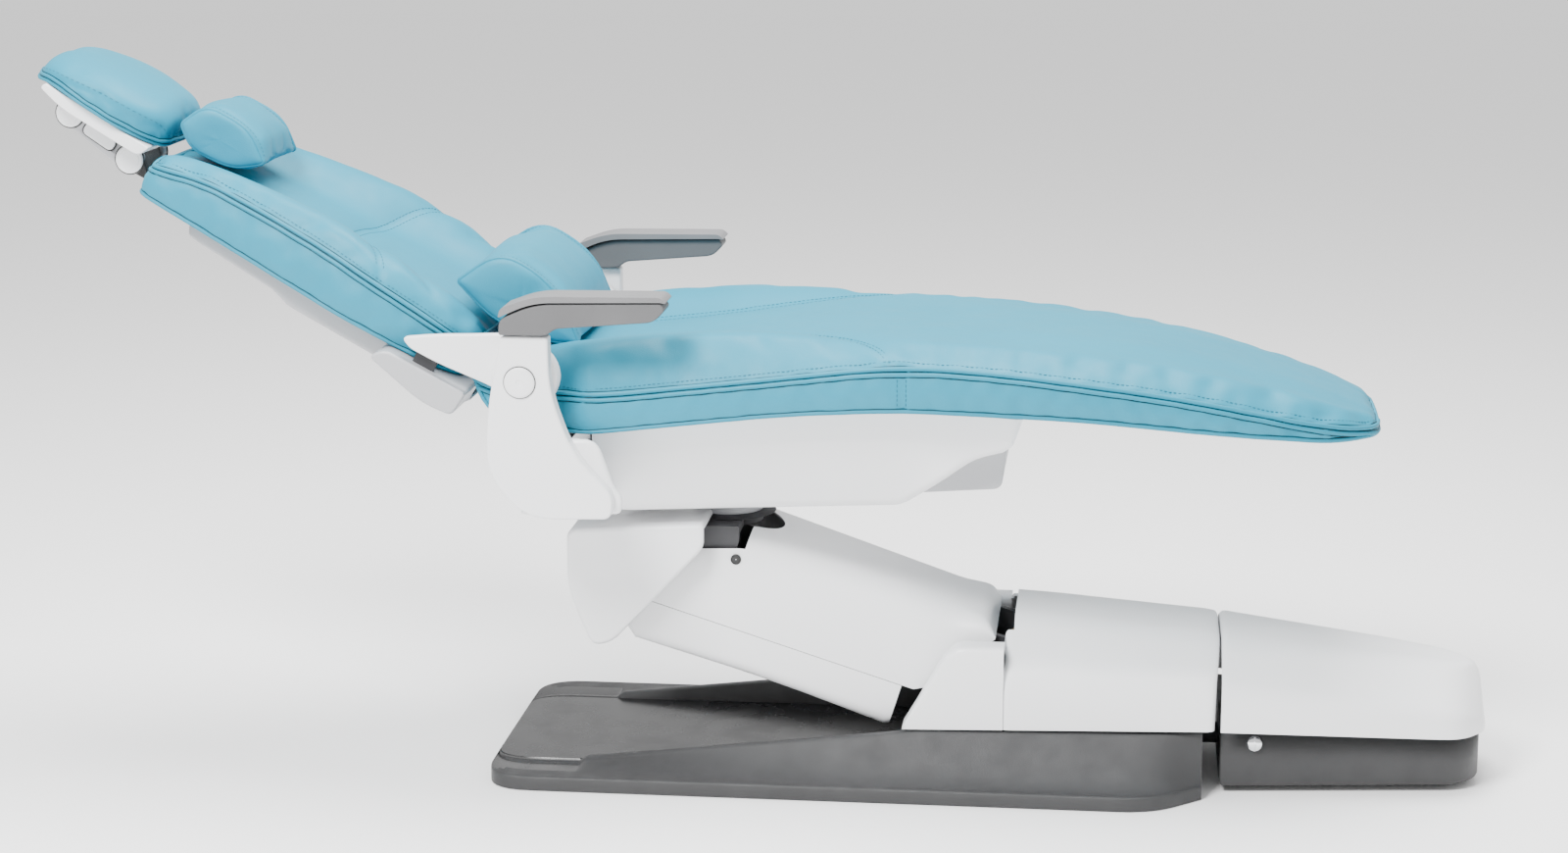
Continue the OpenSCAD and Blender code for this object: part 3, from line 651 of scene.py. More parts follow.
class Surface:
    """Finds points on a finished cover."""

    def __init__(self, obj):
        graph = bpy.context.evaluated_depsgraph_get()
        self.tree = BVHTree.FromObject(obj, graph)

    def near(self, point, lift=0.0):
        spot, normal, _, _ = self.tree.find_nearest(point)
        return spot + normal * lift * MM

    def cast(self, origin, way, lift=0.0):
        spot, normal, _, _ = self.tree.ray_cast(origin, way)
        if spot is None:
            return None
        return spot + normal * lift * MM

    def lay(self, points, way, lift=0.0):
        """Drops a line of points onto the cover along one direction."""
        laid = [self.cast(p - way * 0.3, way, lift) for p in points]
        return [p for p in laid if p is not None]


class Pad:
    """A cushion: a crowned top, a boxing band and an underside.

    half(x) is its half width, top(x, t) and under(x) its heights, with t from -1 to 1
    across it, and edge(x) the height of the welt between the top and the band."""

    def __init__(self, name, place, stations, half, top, edge, under, finish,
                 across=28, rows=5, bulge=3.0):
        self.place, self.half, self.edge, self.under = place, half, edge, under
        self.stations = stations
        turns = [math.sin(math.pi / 2 * (2 * j / across - 1)) for j in range(across + 1)]
        points, faces = [], []
        index_top = self.grid(points, faces, turns, top, False)
        index_under = self.grid(points, faces, turns, lambda x, t: under(x), True)
        rim_top, rim_under = self.rim(index_top), self.rim(index_under)
        loops = [rim_top]
        for row in range(1, rows):
            f = row / rows
            swell = bulge * math.sin(math.pi * f)
            loop = []
            for a, b in zip(rim_top, rim_under):
                p = points[a].lerp(points[b], f)
                out = p - self.place.at((stations[0] + stations[-1]) / 2, 0, 0)
                sideways = out - self.place.off * out.dot(self.place.off)
                lean = LEFT if p.y > 0 else -LEFT
                at_side = abs(out.dot(self.place.along)) < 0.485 * MM * (
                    stations[-1] - stations[0])
                way = lean if at_side else sideways.normalized()
                loop.append(len(points))
                points.append(p + way * swell * MM)
            loops.append(loop)
        loops.append(rim_under)
        count = len(rim_top)
        for a, b in zip(loops, loops[1:]):
            for i in range(count):
                k = (i + 1) % count
                faces.append((a[i], a[k], b[k], b[i]))
        self.rim_points = [points[i].copy() for i in rim_top]
        self.rim_under_points = [points[i].copy() for i in rim_under]
        self.obj = outward(mesh_object(name, points, faces, finish))
        under_set = {i for line in index_under for i in line}
        self.held = sorted(under_set | set(rim_top))

    def grid(self, points, faces, turns, height, flip):
        index = []
        for x in self.stations:
            line = []
            for t in turns:
                line.append(len(points))
                points.append(self.place.at(x, t * self.half(x), height(x, t)))
            index.append(line)
        for a, b in zip(index, index[1:]):
            for j in range(len(turns) - 1):
                quad = (a[j], a[j + 1], b[j + 1], b[j])
                faces.append(quad[::-1] if flip else quad)
        return index

    @staticmethod
    def rim(index):
        """The loop of vertices round a grid."""
        first, last = index[0], index[-1]
        left = [line[-1] for line in index[1:-1]]
        right = [line[0] for line in index[1:-1]]
        return first + left + last[::-1] + right[::-1]


def pad_way(loop):
    """The direction square to the plane that a rim loop lies in."""
    middle = sum(loop, Vector()) / len(loop)
    way = Vector()
    for a, b in zip(loop, loop[1:]):
        way += (a - middle).cross(b - middle)
    return way.normalized()


def welt(name, pad_points, surface, radius, body, inset=Vector((0, 0, 0)), lift=0.4):
    """A closed piping cord laid on the cover along the rim of a pad, flanked by thin near-black cords as painted
    seam shadow.
    """
    line = [surface.near(p + inset, lift) for p in pad_points]
    smooth = []
    count = len(line)
    for i, p in enumerate(line):
        smooth.append((line[i - 1] + 2 * p + line[(i + 1) % count]) / 4)
    mount(cord(name, smooth, radius, welt_vinyl, closed=True), body, "vinyl")
    # Thin near-black cords on both sides of the piping: painted shadow where the cord meets the panel.
    across = pad_way(pad_points)
    for tag, side in (("a", -1), ("b", 1)):
        line = [surface.near(p + side * (radius + 0.7) * MM * across, 0.1) for p in smooth]
        mount(cord(f"{name}_gap_{tag}", line, 0.75, seam_shadow_vinyl, closed=True), body, "vinyl")


# ---- Seat cushion -------------------------------------------------------------------

def build_seat_cushion():
    lo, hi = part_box("seat_cushion")
    rear, toe = lo.x / MM + 2, hi.x / MM - 1
    wide = hi.y / MM - 2
    half = track((rear, wide - 24, 0), (rear + 6, wide - 18, 6), (-368, wide - 18, 12),
                 (-345, wide, 12), (100, wide, 60), (326, wide - 12, 60), (523, 212, 60),
                 (668, 172, 60), (toe, 112, 66), (toe + 0.1, 40, 0))
    centre = track((rear, 598, 0), (-480, 606, 10), (-340, 609, 40), (-121, 632, 80),
                   (42, 645, 80), (251, 641, 80), (459, 617, 80), (620, 577, 50),
                   (toe - 6, 535, 20), (toe, 529, 0))
    crest = track((rear, 596, 0), (-470, 606, 10), (-330, 637, 60), (-160, 650, 60),
                  (20, 645, 60), (251, 634, 80), (459, 609, 80), (620, 569, 50),
                  (toe - 6, 532, 20), (toe, 527, 0))
    edge = track((rear, 590, 0), (-470, 576, 20), (-338, 573, 60), (-120, 598, 80),
                 (90, 624, 90), (251, 612, 80), (459, 582, 80), (620, 545, 60),
                 (699, 529, 20), (toe, 525, 0))
    flat = track((-421, 521, 4), (-342, 521, 20), (-71, 553, 60), (89, 562, 60),
                 (327, 552, 60), (525, 529, 60), (680, 513, 20), (toe, 514, 0))
    hinge_x, hinge_z = hinge_point.x / MM, hinge_point.z / MM
    end_reach = hinge_x - rear - 1.5

    def under(x):
        if x < hinge_x:
            drop = math.sqrt(max(0.0, end_reach ** 2 - (x - hinge_x) ** 2))
            return min(hinge_z - drop, edge(x) - 2)
        return flat(x)

    seam_half = track((rear, 100, 0), (-196, 108, 120), (-83, 134, 80), (20, 186, 40),
                      (66, 238, 20), (84, 290, 0))

    def top(x, t):
        off_middle = abs(t)
        shoulder = 0.80
        inner = smoothstep(off_middle, 0.34, 0.74)
        level = centre(x) + (crest(x) - centre(x)) * inner
        if off_middle > shoulder:
            f = (off_middle - shoulder) / (1 - shoulder)
            level = edge(x) + (crest(x) - edge(x)) * math.sqrt(max(0.0, 1 - f ** 2.2))
        return level

    pad = Pad("seat_cushion_cover", world, eased_steps(rear, toe, 13), half, top, edge, under,
              vinyl, across=34, rows=5, bulge=4)
    seams = []
    for side in (-1, 1):
        seams.append([world.at(x, side * min(seam_half(x), half(x)),
                               top(x, min(1, seam_half(x) / half(x))))
                      for x in steps_between(rear + 12, 74, 6)])
        seams.append([world.at(90 + 3 * math.sin(f * math.pi), side * half(90),
                               624 + (562 - 624) * f) for f in spread(0, 1, 12)])
    upholster(pad.obj, pad.held, seams, cap=7)
    surface = Surface(pad.obj)
    mount(pad.obj, "chair", "vinyl", "seat_cushion")

    down = Vector((0, 0, -1))
    welt("seat_welt_upper", pad.rim_points, surface, 3.4, "chair")
    welt("seat_welt_lower", pad.rim_points, surface, 3.2, "chair", 8.0 * MM * down)
    welt("seat_piping_bottom", pad.rim_under_points, surface, 3.0, "chair", 1.5 * MM * UP)

    lines = []
    for side in (-1, 1):
        row = [p for p in pad.rim_points if p.y * side > 0.04]
        row = row if side > 0 else row[::-1]
        inward = Vector((0, -side * 9 * MM, 6 * MM))
        lines.append([surface.near(p + inward, 0.2) for p in row])
        for shift in (-6, 6):
            band = [world.at(90 + shift, side * 330, z) for z in spread(568, 618, 20)]
            lines.append(surface.lay(band, Vector((0, -side, 0)), 0.2))
        for shift in (-6, 6):
            arc = [world.at(x, side * (seam_half(x) + shift), 700)
                   for x in steps_between(-440, 66, 6)]
            lines.append(surface.lay(arc, down, 0.2))
    mount(stitches("seat_stitching", [l for l in lines if len(l) > 2], thread), "chair", "vinyl")


# ---- Back cushion -------------------------------------------------------------------

def build_back_cushion():
    length = 607
    half = track((89, 188, 0), (96, 204, 10), (130, 226, 30), (260, 235, 60), (360, 216, 60),
                 (460, 197, 60), (560, 180, 30), (length, 172, 24), (length + 0.1, 120, 0))
    middle = track((89, -14, 0), (98, -8, 8), (300, -8, 60), (length - 10, -14, 20),
                   (length, -20, 0))
    crest = track((89, -6, 0), (100, 7, 10), (160, 27, 40), (270, 38, 60), (352, 36, 60),
                  (440, 27, 60), (526, 15, 40), (length - 10, -3, 10), (length, -14, 0))
    edge = track((89, -20, 0), (127, -10, 20), (166, -4, 30), (238, 3, 40), (320, 9, 60),
                 (439, 8, 60), (526, 3, 40), (length - 14, -15, 8), (length, -20, 0))

    def top(u, t):
        off_middle = abs(t)
        shoulder = 0.84
        level = middle(u) + (crest(u) - middle(u)) * smoothstep(off_middle, 0.40, 0.82)
        if off_middle > shoulder:
            f = (off_middle - shoulder) / (1 - shoulder)
            level = edge(u) + (crest(u) - edge(u)) * math.sqrt(max(0.0, 1 - f ** 2.2))
        return level

    pad = Pad("back_cushion_cover", back, eased_steps(89, length, 12), half, top, edge,
              lambda u: -62.0, vinyl, across=30, rows=7, bulge=5)

    def arc_u(y):
        return 336 - 96 * (y / 236) ** 2

    seams = [[back.at(arc_u(y), y, top(arc_u(y), min(1, abs(y) / half(arc_u(y)))))
              for y in spread(-232, 232, 80)]]
    for side in (-1, 1):
        seams.append([back.at(206 - 50 * f ** 0.8, side * (180 + 48 * f),
                              crest(206 - 50 * f)) for f in spread(0, 1, 16)])
    upholster(pad.obj, pad.held, seams, cap=7)
    surface = Surface(pad.obj)
    mount(pad.obj, "back", "vinyl", "back_cushion")

    down = -back.off
    welt("back_welt_upper", pad.rim_points, surface, 3.2, "back")
    welt("back_welt_lower", pad.rim_points, surface, 3.0, "back", 8.0 * MM * down)
    welt("back_piping_bottom", pad.rim_under_points, surface, 3.0, "back", 2.0 * MM * back.off)

    lines = []
    for shift in (-6, 6):
        arc = [back.at(arc_u(y) + shift, y, 200) for y in spread(-222, 222, 90)]
        lines.append(surface.lay(arc, down, 0.2))
    for side in (-1, 1):
        row = [p for p in pad.rim_points if p.y * side > 0.1]
        row = row if side > 0 else row[::-1]
        inward = -side * 8 * MM * LEFT + 6 * MM * back.off
        lines.append([surface.near(p + inward, 0.2) for p in row])
    mount(stitches("back_stitching", lines, thread), "back", "vinyl")


# ---- Pillows ------------------------------------------------------------------------

def build_pillow(name, node, body, corners, half_width, seam_inset=26):
    """A lens-shaped pillow across the back, with piped almond ends."""
    line = rounded(corners, steps=7)
    middle = sum((p for p in line), Vector((0, 0))) / len(line)
    rings = []
    stations = spread(-half_width, half_width, 26)
    domes = [(0.97, 3.0), (0.84, 6.5), (0.6, 9.0), (0.3, 10.0), (0.06, 10.4)]

    def ring(y, scale):
        return [back.at(middle.x + (p.x - middle.x) * scale,
                        y, middle.y + (p.y - middle.y) * scale) for p in line]

    depth = half_width - 10
    for scale, out in reversed(domes):
        rings.append(ring(-depth - out, scale))
    for y in stations:
        y_here = y * depth / half_width
        waist = 1 - 0.035 * (y_here / depth) ** 2
        rings.append(ring(y_here, waist))
    for scale, out in domes:
        rings.append(ring(depth + out, scale))
    width = len(line)
    obj = outward(skin(name + "_cover", rings, vinyl, closed=True, caps=True))
    first = len(domes)
    last = first + len(stations) - 1
    held = list(range(first * width, (first + 1) * width))
    held += list(range(last * width, (last + 1) * width))
    ends = [[v.co.copy() for v in obj.data.vertices][r * width:(r + 1) * width]
            for r in (first, last)]
    loops = [loop + [loop[0]] for loop in ends]
    upholster(obj, held, loops, cap=6, reach=14, groove=2.0, groove_width=4)
    surface = Surface(obj)
    mount(obj, body, "vinyl", node)
    lines = []
    for tag, loop, side in (("right", ends[0], -1), ("left", ends[1], 1)):
        laid = [surface.near(p, 0.5) for p in loop]
        piping = cord(f"{name}_piping_{tag}", laid, 2.8, welt_vinyl, closed=True)
        mount(piping, body, "vinyl")
        inner = [surface.near(p - side * 9 * MM * LEFT, 0.2) for p in loop + [loop[0]]]
        lines.append(inner)
    mount(stitches(f"{name}_stitching", lines, thread, 3.6, 2.2, 0.5), body, "vinyl")


def build_pillows():
    build_pillow("lumbar", "lumbar_pillow", "lumbar",
                 [(-41, 47, 8), (10, 25, 34), (90, 17, 44), (161, 42, 8), (126, 112, 44),
                  (32, 108, 54)], 163)
    build_pillow("neck", "neck_pillow", "neck",
                 [(479, 40, 8), (520, 9, 26), (588, 6, 24), (618, 32, 8), (596, 77, 26),
                  (522, 76, 42)], 93)


# ---- Headrest -----------------------------------------------------------------------

def build_headrest_cushion():
    half = track((-35, 54, 0), (-32, 76, 14), (0, 104, 30), (40, 119, 50), (100, 119, 60),
                 (145, 104, 40), (167, 80, 20), (172, 50, 0))
    crown = track((-35, 62, 0), (-29, 90, 16), (-8, 102, 26), (70, 101, 60), (140, 84, 40),
                  (165, 72, 16), (172, 46, 0))
    edge = track((-35, 56, 0), (-20, 72, 20), (70, 70, 60), (150, 50, 30), (172, 36, 0))
    base = track((-35, 51, 0), (-26, 48, 6), (120, 44, 30), (150, 40, 12), (160, 33, 8),
                 (172, 30, 0))

    def top(h, t):
        f = abs(t)
        round_off = math.sqrt(max(0.0, 1 - f ** 3.4))
        return edge(h) + (crown(h) - edge(h)) * round_off

    pad = Pad("headrest_cushion_cover", head, eased_steps(-35, 172, 9, 14), half, top, edge,
              base, vinyl, across=22, rows=4, bulge=3)
    upholster(pad.obj, pad.held, [], cap=5)
    surface = Surface(pad.obj)
    mount(pad.obj, "head", "vinyl", "headrest_cushion")
    welt("headrest_piping_upper", pad.rim_under_points, surface, 2.6, "head", 7 * MM * head.off)
    welt("headrest_piping_lower", pad.rim_under_points, surface, 2.6, "head", 1 * MM * head.off)
    rim = pad.rim_points + [pad.rim_points[0]]
    line = [surface.near(p + 7 * MM * head.off, 0.2) for p in rim]
    mount(stitches("headrest_stitching", [line], thread, 5, 4), "head", "vinyl")


def capsule(name, middle, radius, y0, y1, finish, edge):
    """A round-ended bar across the link, centred on the release button."""
    half = 16 + radius
    corners = [(middle - half, 3 - radius, radius), (middle + half, 3 - radius, radius),
               (middle + half, 3 + radius, radius), (middle - half, 3 + radius, radius)]
    return side_plate(name, corners, head, y0, y1, finish, edge=edge)


def build_headrest_metal():
    hinge_up = joint_point("headrest_upper_tilt") - head_point
    far_h, far_m = hinge_up.dot(head.along) / MM, hinge_up.dot(head.off) / MM

    shell = side_plate("headrest_tray", [(-26, 45, 5), (-18, 26, 14), (110, 20, 30),
                                         (150, 28, 10), (147, 38, 5)], head, -108, 108,
                       white, edge=6, segments=4)
    channel = side_plate("channel", [(-60, -20, 0), (-60, 31, 0), (200, 27, 0),
                                     (200, -20, 0)], head, -64, 64, white, edge=0)
    mount(cut_away(shell, channel), "head", "cover_white", "headrest_shell")
    lug = lathe("headrest_lug", [(8, -38), (13, -38), (14, -36.5), (14, 36.5), (13, 38), (8, 38)],
                head.at(far_h, 0, far_m), LEFT, white)
    mount(lug, "head", "cover_white")
    web = side_plate("headrest_lug_web", [(far_h - 12, far_m + 4, 0), (far_h - 12, 33, 0),
                                          (far_h + 12, 33, 0), (far_h + 12, far_m + 4, 0)],
                     head, -37, 37, white, edge=1.5)
    mount(web, "head", "cover_white")

    for side, tag in ((-1, "right"), (1, "left")):
        inner, outer = sorted((side * 42, side * 54))
        cheek = side_plate(f"link_cheek_{tag}",
                           [(-19, 2, 18), (-14, 17, 14), (12, 20, 10), (far_h - 14, 26, 10),
                            (far_h + 12, 24, 14), (far_h + 19, far_m, 18),
                            (far_h + 10, -9, 14), (far_h - 14, -11, 10), (12, -18, 10),
                            (-13, -15, 14)],
                           head, inner, outer, grey_shell, edge=3)
        if side < 0:
            cut_away(cheek, capsule("button_hole", far_h / 2, 9.6, -56, -41.5, grey_shell, 0))
            mount(cheek, "head_link", "shell_grey", "headrest_link")
        else:
            mount(cheek, "head_link", "shell_grey")
        for spot, centre in (("low", (0, 0)), ("high", (far_h, far_m))):
            cap = lathe(f"link_cap_{tag}_{spot}",
                        [(20, 53), (20, 57.5), (19, 59), (16.4, 59.7), (15.8, 59.2), (14.8, 59.2),
                         (14.2, 59.8), (8, 60), (0.4, 60)],
                        head.at(centre[0], 0, centre[1]), side * LEFT, white)
            mount(cap, "head_link", "shell_grey")
            ring_points = [head.at(centre[0] + 20.9 * math.cos(a), side * 55.0,
                                   centre[1] + 20.9 * math.sin(a))
                           for a in (2 * math.pi * i / 40 for i in range(40))]
            mount(cord(f"link_cap_shadow_{tag}_{spot}", ring_points, 1.2, black_plastic, True),
                  "head_link", "black_plastic")
    bridge = side_plate("link_bridge", [(41, -9, 5), (41, 15, 5), (67, 15, 5), (67, -9, 5)], head,
                        -41, 41, grey_shell, edge=2)
    mount(bridge, "head_link", "shell_grey")
    for spot, centre in (("low", (0, 0)), ("high", (far_h, far_m))):
        pin = lathe(f"link_pin_{spot}", [(5.5, -43), (6.9, -42), (6.9, 42), (5.5, 43)],
                    head.at(centre[0], 0, centre[1]), LEFT, steel)
        mount(pin, "head_link", "steel")

    middle = far_h / 2
    # The second row is a thin black sheet on the cheek around the button: painted shade of a recess, which is not
    # cut.
    for name, radius, low, high, finish, body, slot, nodes in (
            ("button", 9, 46.5, 58.7, button_white, "head_button", "button_white",
             ("headrest_button",)),
            ("button_recess_shade", 11.4, 54, 54.8, black_plastic, "head_link", "black_plastic", ())):
        mount(capsule(name, middle, radius, -high, -low, finish, 1.2), body, slot, *nodes)


def build_headrest_bar():
    bar = side_plate("headrest_blade", [(330, -77, 0), (632, -77, 0), (632, -70, 0),
                                        (330, -70, 0)], back, -45, 45, black_plastic, edge=2)
    mount(bar, "head_bar", "black_plastic", "headrest_bar")
    neck = side_plate("headrest_blade_neck", [(606, -76, 4), (668, -76, 14), (676, -60, 8),
                                              (672, -44, 10), (656, -44, 10), (634, -70, 10),
                                              (606, -71, 0)], back, -40, 40, black_plastic, edge=3)
    mount(neck, "head_bar", "black_plastic")
    eye = lathe("headrest_blade_eye", [(8, -41), (13.6, -41), (15, -39.5), (15, 39.5),
                                       (13.6, 41), (8, 41)], head_point, LEFT, black_plastic)
    mount(eye, "head_bar", "black_plastic")
    guide = side_plate("headrest_guide_block", [(470, -79, 2), (590, -79, 2), (590, -67, 2),
                                                (470, -67, 2)], back, -62, 62, black_plastic, edge=2)
    slot = box_form("guide_slot", (460, -45.5, -77.6), (600, 45.5, -69.4), black_plastic, 0, back)
    mount(cut_away(guide, slot), "back", "black_plastic", "headrest_guide")


# ---- Back shell and arms ------------------------------------------------------------

def build_back_shell():
    """The grey tray behind the back cushion, with two stepped faces."""
    floor = track((64, -100, 0), (72, -108, 4), (110, -110, 20), (354, -104, 8),
                  (376, -94, 8), (522, -90, 8), (530, -70, 0))
    half = track((64, 160, 0), (72, 170, 8), (360, 172, 30), (520, 151, 10), (530, 146, 0))
    rings = []
    for u in eased_steps(64, 530, 14, 10):
        bottom, wide = floor(u), half(u)
        path = corner_path([(wide, -67, 0), (wide, (bottom - 67) / 2, 1),
                            (wide - 1, bottom, 16), (0, bottom, 0)], 6)
        rings.append([back.at(u, p.x, p.y) for p in mirror_path(path)])
    obj = skin("back_tray", rings, grey_shell)
    thicken(obj, 3, 24)
    mount(obj, "back", "shell_grey", "back_shell")
    for side, tag in ((-1, "right"), (1, "left")):
        inner, outer = sorted((side * 158, side * 264))
        fairing = side_plate(f"hinge_fairing_{tag}",
                             [(62, -64, 8), (190, -64, 20), (205, -84, 10), (112, -106, 24),
                              (66, -102, 10)], back, inner, outer, grey_shell, edge=5, segments=4)
        mount(fairing, "back", "shell_grey")


def build_back_arms():
    for side, tag in ((-1, "right"), (1, "left")):
        inner, outer = sorted((side * 246, side * 261))
        blade = side_plate(f"back_arm_{tag}_blade",
                           [(0, -40, 4), (37, -38, 16), (118, -46, 30), (160, -46, 10),
                            (176, -38, 8), (135, -11, 30), (90, 14, 30), (54, 36, 20),
                            (8, 45, 8)],
                           back, inner, outer, white, edge=5, segments=4)
        mount(blade, "back", "cover_white", f"back_arm_{tag}")
        hub = lathe(f"back_arm_{tag}_hub", [(12, 252), (42, 252), (46, 256), (46, 275), (44.5, 278.5),
                                            (41, 280), (12, 280)],
                    back.at(0, 0, 0), side * LEFT, white)
        mount(hub, "back", "cover_white")
        lever_lead = math.radians(10)
        tip = hinge_point + 120 * MM * Vector((math.sin(lever_lead), 0, -math.cos(lever_lead)))
        lever_in, lever_out = sorted((side * 260, side * 274))
        x, z = tip.x / MM, tip.z / MM
        hx, hz = hinge_point.x / MM, hinge_point.z / MM
        lever = side_plate(f"recline_lever_{tag}", [(hx - 26, hz - 30, 4), (hx + 26, hz - 30, 4),
                                                    (x + 15, z, 12), (x + 8, z - 14, 8),
                                                    (x - 8, z - 14, 8), (x - 15, z, 12)],
                           world, lever_in, lever_out, white, edge=2)
        mount(lever, "back", "cover_white")


# ---- Seat shell and side arms -------------------------------------------------------

def build_seat_shell():
    """The white tub under the seat: a lower slope, an arched crease and an upper lip."""
    rear, front = -384, 249
    bottom = track((rear, 504, 0), (-318, 390, 14), (83, 411, 12), (185, 488, 24),
                   (233, 500, 10), (front, 545, 0))
    rim = track((rear, 512, 0), (-71, 549, 60), (89, 558, 60), (front, 547, 0))
    crease = track((rear, 470, 0), (-294, 482, 60), (-103, 504, 120), (34, 511, 80),
                   (front, 512, 0))

    def ring_at(x, inset):
        low, lip = bottom(x), rim(x)
        fold = max(low + 3, min(crease(x), lip - 3))
        foot = 150 + (202 - 150) * smoothstep(low, 386, 470) * 0.9
        foot = min(foot, 200)
        path = corner_path([(0, low, 0), (foot - inset, low, 14), (203 - inset, fold, 5),
                            (215 - inset, lip, 0)], 6)
        return [world.at(x, p.x, p.y) for p in mirror_path(path[::-1])]

    rings = []
    for x in eased_steps(rear, front, 12, 14):
        near_end = min(x - rear, front - x)
        inset = 9 * (1 - math.sqrt(max(0.0, 1 - (1 - min(1.0, near_end / 12)) ** 2)))
        rings.append(ring_at(x, inset))
    obj = skin("seat_tub", rings, white)
    thicken(obj, 4)
    slot_high = box_form("slot_high", (-460, -260, 468), (-341, 260, 640), white, 0)
    slot_low = box_form("slot_low", (-460, -203, 428), (-347, 203, 470), white, 0)
    cut_away(obj, slot_high, slot_low)
    obj.data.set_sharp_from_angle(angle=math.radians(34))
    mount(obj, "chair", "cover_white", "seat_shell")
    pan = side_plate("seat_front_pan", [(96, 424, 6), (222, 433, 12), (229, 493, 6), (229, 545, 4),
                                        (96, 545, 4)], world, -150, 150, grey_shell,
                     edge=7, segments=4)
    mount(pan, "chair", "shell_grey", "seat_pan")
    board = side_plate("toe_board", [(640, 512, 2), (525, 526, 30), (327, 549, 40), (205, 554, 2),
                                     (205, 547, 2), (327, 542, 40), (525, 519, 30), (640, 505, 2)],
                       world, -110, 110, black_plastic, edge=1.5)
    mount(board, "chair", "black_plastic", "leg_board")


def build_side_arms():
    outline = [(-447, 664, 5), (-383, 664, 5), (-382, 590, 40), (-352, 505, 50), (-296, 446, 16),
               (-300, 414, 12), (-416, 411, 44), (-470, 470, 44), (-468, 560, 40)]
    for side, tag in ((-1, "right"), (1, "left")):
        inner, outer = sorted((side * 286, side * 312))
        plate = side_plate(f"side_arm_{tag}_plate", outline, world, inner, outer, white,
                           edge=6, segments=5, steps=10)
        mount(plate, "chair", "cover_white", f"side_arm_{tag}")
        flange_in, flange_out = sorted((side * 277, side * 290))
        flange = side_plate(f"side_arm_{tag}_flange",
                            [(-400, 412, 20), (-392, 486, 30), (-372, 519, 12), (-322, 519, 20),
                             (-300, 456, 8), (-287, 438, 8), (-290, 416, 8)],
                            world, flange_in, flange_out, white, edge=6, segments=4, steps=8)
        mount(flange, "chair", "cover_white")
        foot_in, foot_out = sorted((side * 150, side * 290))
        foot = side_plate(f"side_arm_{tag}_foot", [(-428, 412, 6), (-318, 412, 8), (-318, 431, 8),
                                                   (-428, 431, 6)], world, foot_in, foot_out,
                          white, edge=4)
        mount(foot, "chair", "cover_white")
        cap = lathe(f"hinge_cap_{tag}", [(21, 310), (21, 314), (19.6, 315.4), (17.5, 316),
                                         (4.5, 316), (3.5, 315), (0.4, 315)],
                    hinge_point, side * LEFT, white)
        if side < 0:
            mount(cap, "chair", "cover_white", "hinge_caps")
        else:
            mount(cap, "chair", "cover_white")
        ring = [world.at(hinge_point.x / MM + 21.6 * math.cos(a), side * 312.3,
                         hinge_point.z / MM + 21.6 * math.sin(a))
                for a in (2 * math.pi * i / 44 for i in range(44))]
        mount(cord(f"hinge_cap_shadow_{tag}", ring, 0.8, black_plastic, True), "chair",
              "black_plastic")


# ---- Armrests -----------------------------------------------------------------------

def build_armrests():
    base = [(-449, 666, 4), (-384, 666, 8), (-372, 676, 10), (-238, 687, 12), (-222, 704, 6),
            (-228, 713, 2), (-400, 709, 34), (-448, 688, 12)]
    upper = [(-449, 690, 3), (-402, 711, 34), (-228, 714.5, 3), (-219.5, 713, 5), (-228, 721.5, 8),
             (-400, 720, 40), (-446, 703, 14)]
    for side, tag in ((-1, "right"), (1, "left")):
        low, high = sorted((side * 270, side * 318))
        lower = side_plate(f"{tag}_armrest_body", base, world, low, high, pad_body,
                           edge=4, segments=4, steps=8)
        mount(lower, f"{tag}_armrest", "armrest_grey", f"{tag}_arm_base")
        low, high = sorted((side * 262, side * 320))
        roll = side_plate(f"{tag}_armrest_roll", upper, world, low, high, pad_top,
                          edge=7, segments=6, steps=10)
        mount(roll, f"{tag}_armrest", "armrest_grey", f"{tag}_arm_pad")


# ---- Carriage and lift arm ----------------------------------------------------------

def build_carriage_cover():
    outer = side_plate("shroud", [(-392, 359, 16), (-195, 371, 10), (-195, 336, 12),
                                  (-328, 194, 20), (-358, 188, 20), (-392, 273, 26)],
                       world, -150, 150, white, edge=7, segments=5, steps=8)
    inner = side_plate("hollow", [(-388, 355, 12), (-150, 366, 0), (-150, 330, 0),
                                  (-300, 150, 0), (-354, 160, 0), (-388, 275, 22)],
                       world, -146, 146, white, edge=0)
    post_hole = lathe("post_hole", [(55, 330), (55, 400)], world.at(-178, 0, 0), UP, white)
    mount(cut_away(outer, inner, post_hole), "carriage", "cover_white", "carriage_shroud")

    post_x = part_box("swivel_collar")[0].x / MM + 48
    collar = lathe("collar", [(36, 358), (46.5, 358), (48, 359.5), (48, 366), (46.4, 367.5),
                              (46.4, 369), (48, 370.5), (48, 389), (46.5, 391), (36, 391)],
                   world.at(post_x, 0, 0), UP, grey_shell)
    mount(collar, "chair", "shell_grey", "swivel_collar")
    mount(lathe("collar_gaiter", [(36, 357.2), (66, 357.2), (68, 358.4), (66, 360), (52, 360.5),
                                  (50, 362), (49, 360), (36, 359.8)],
                world.at(post_x, 0, 0), UP, rubber), "carriage", "hose_black")


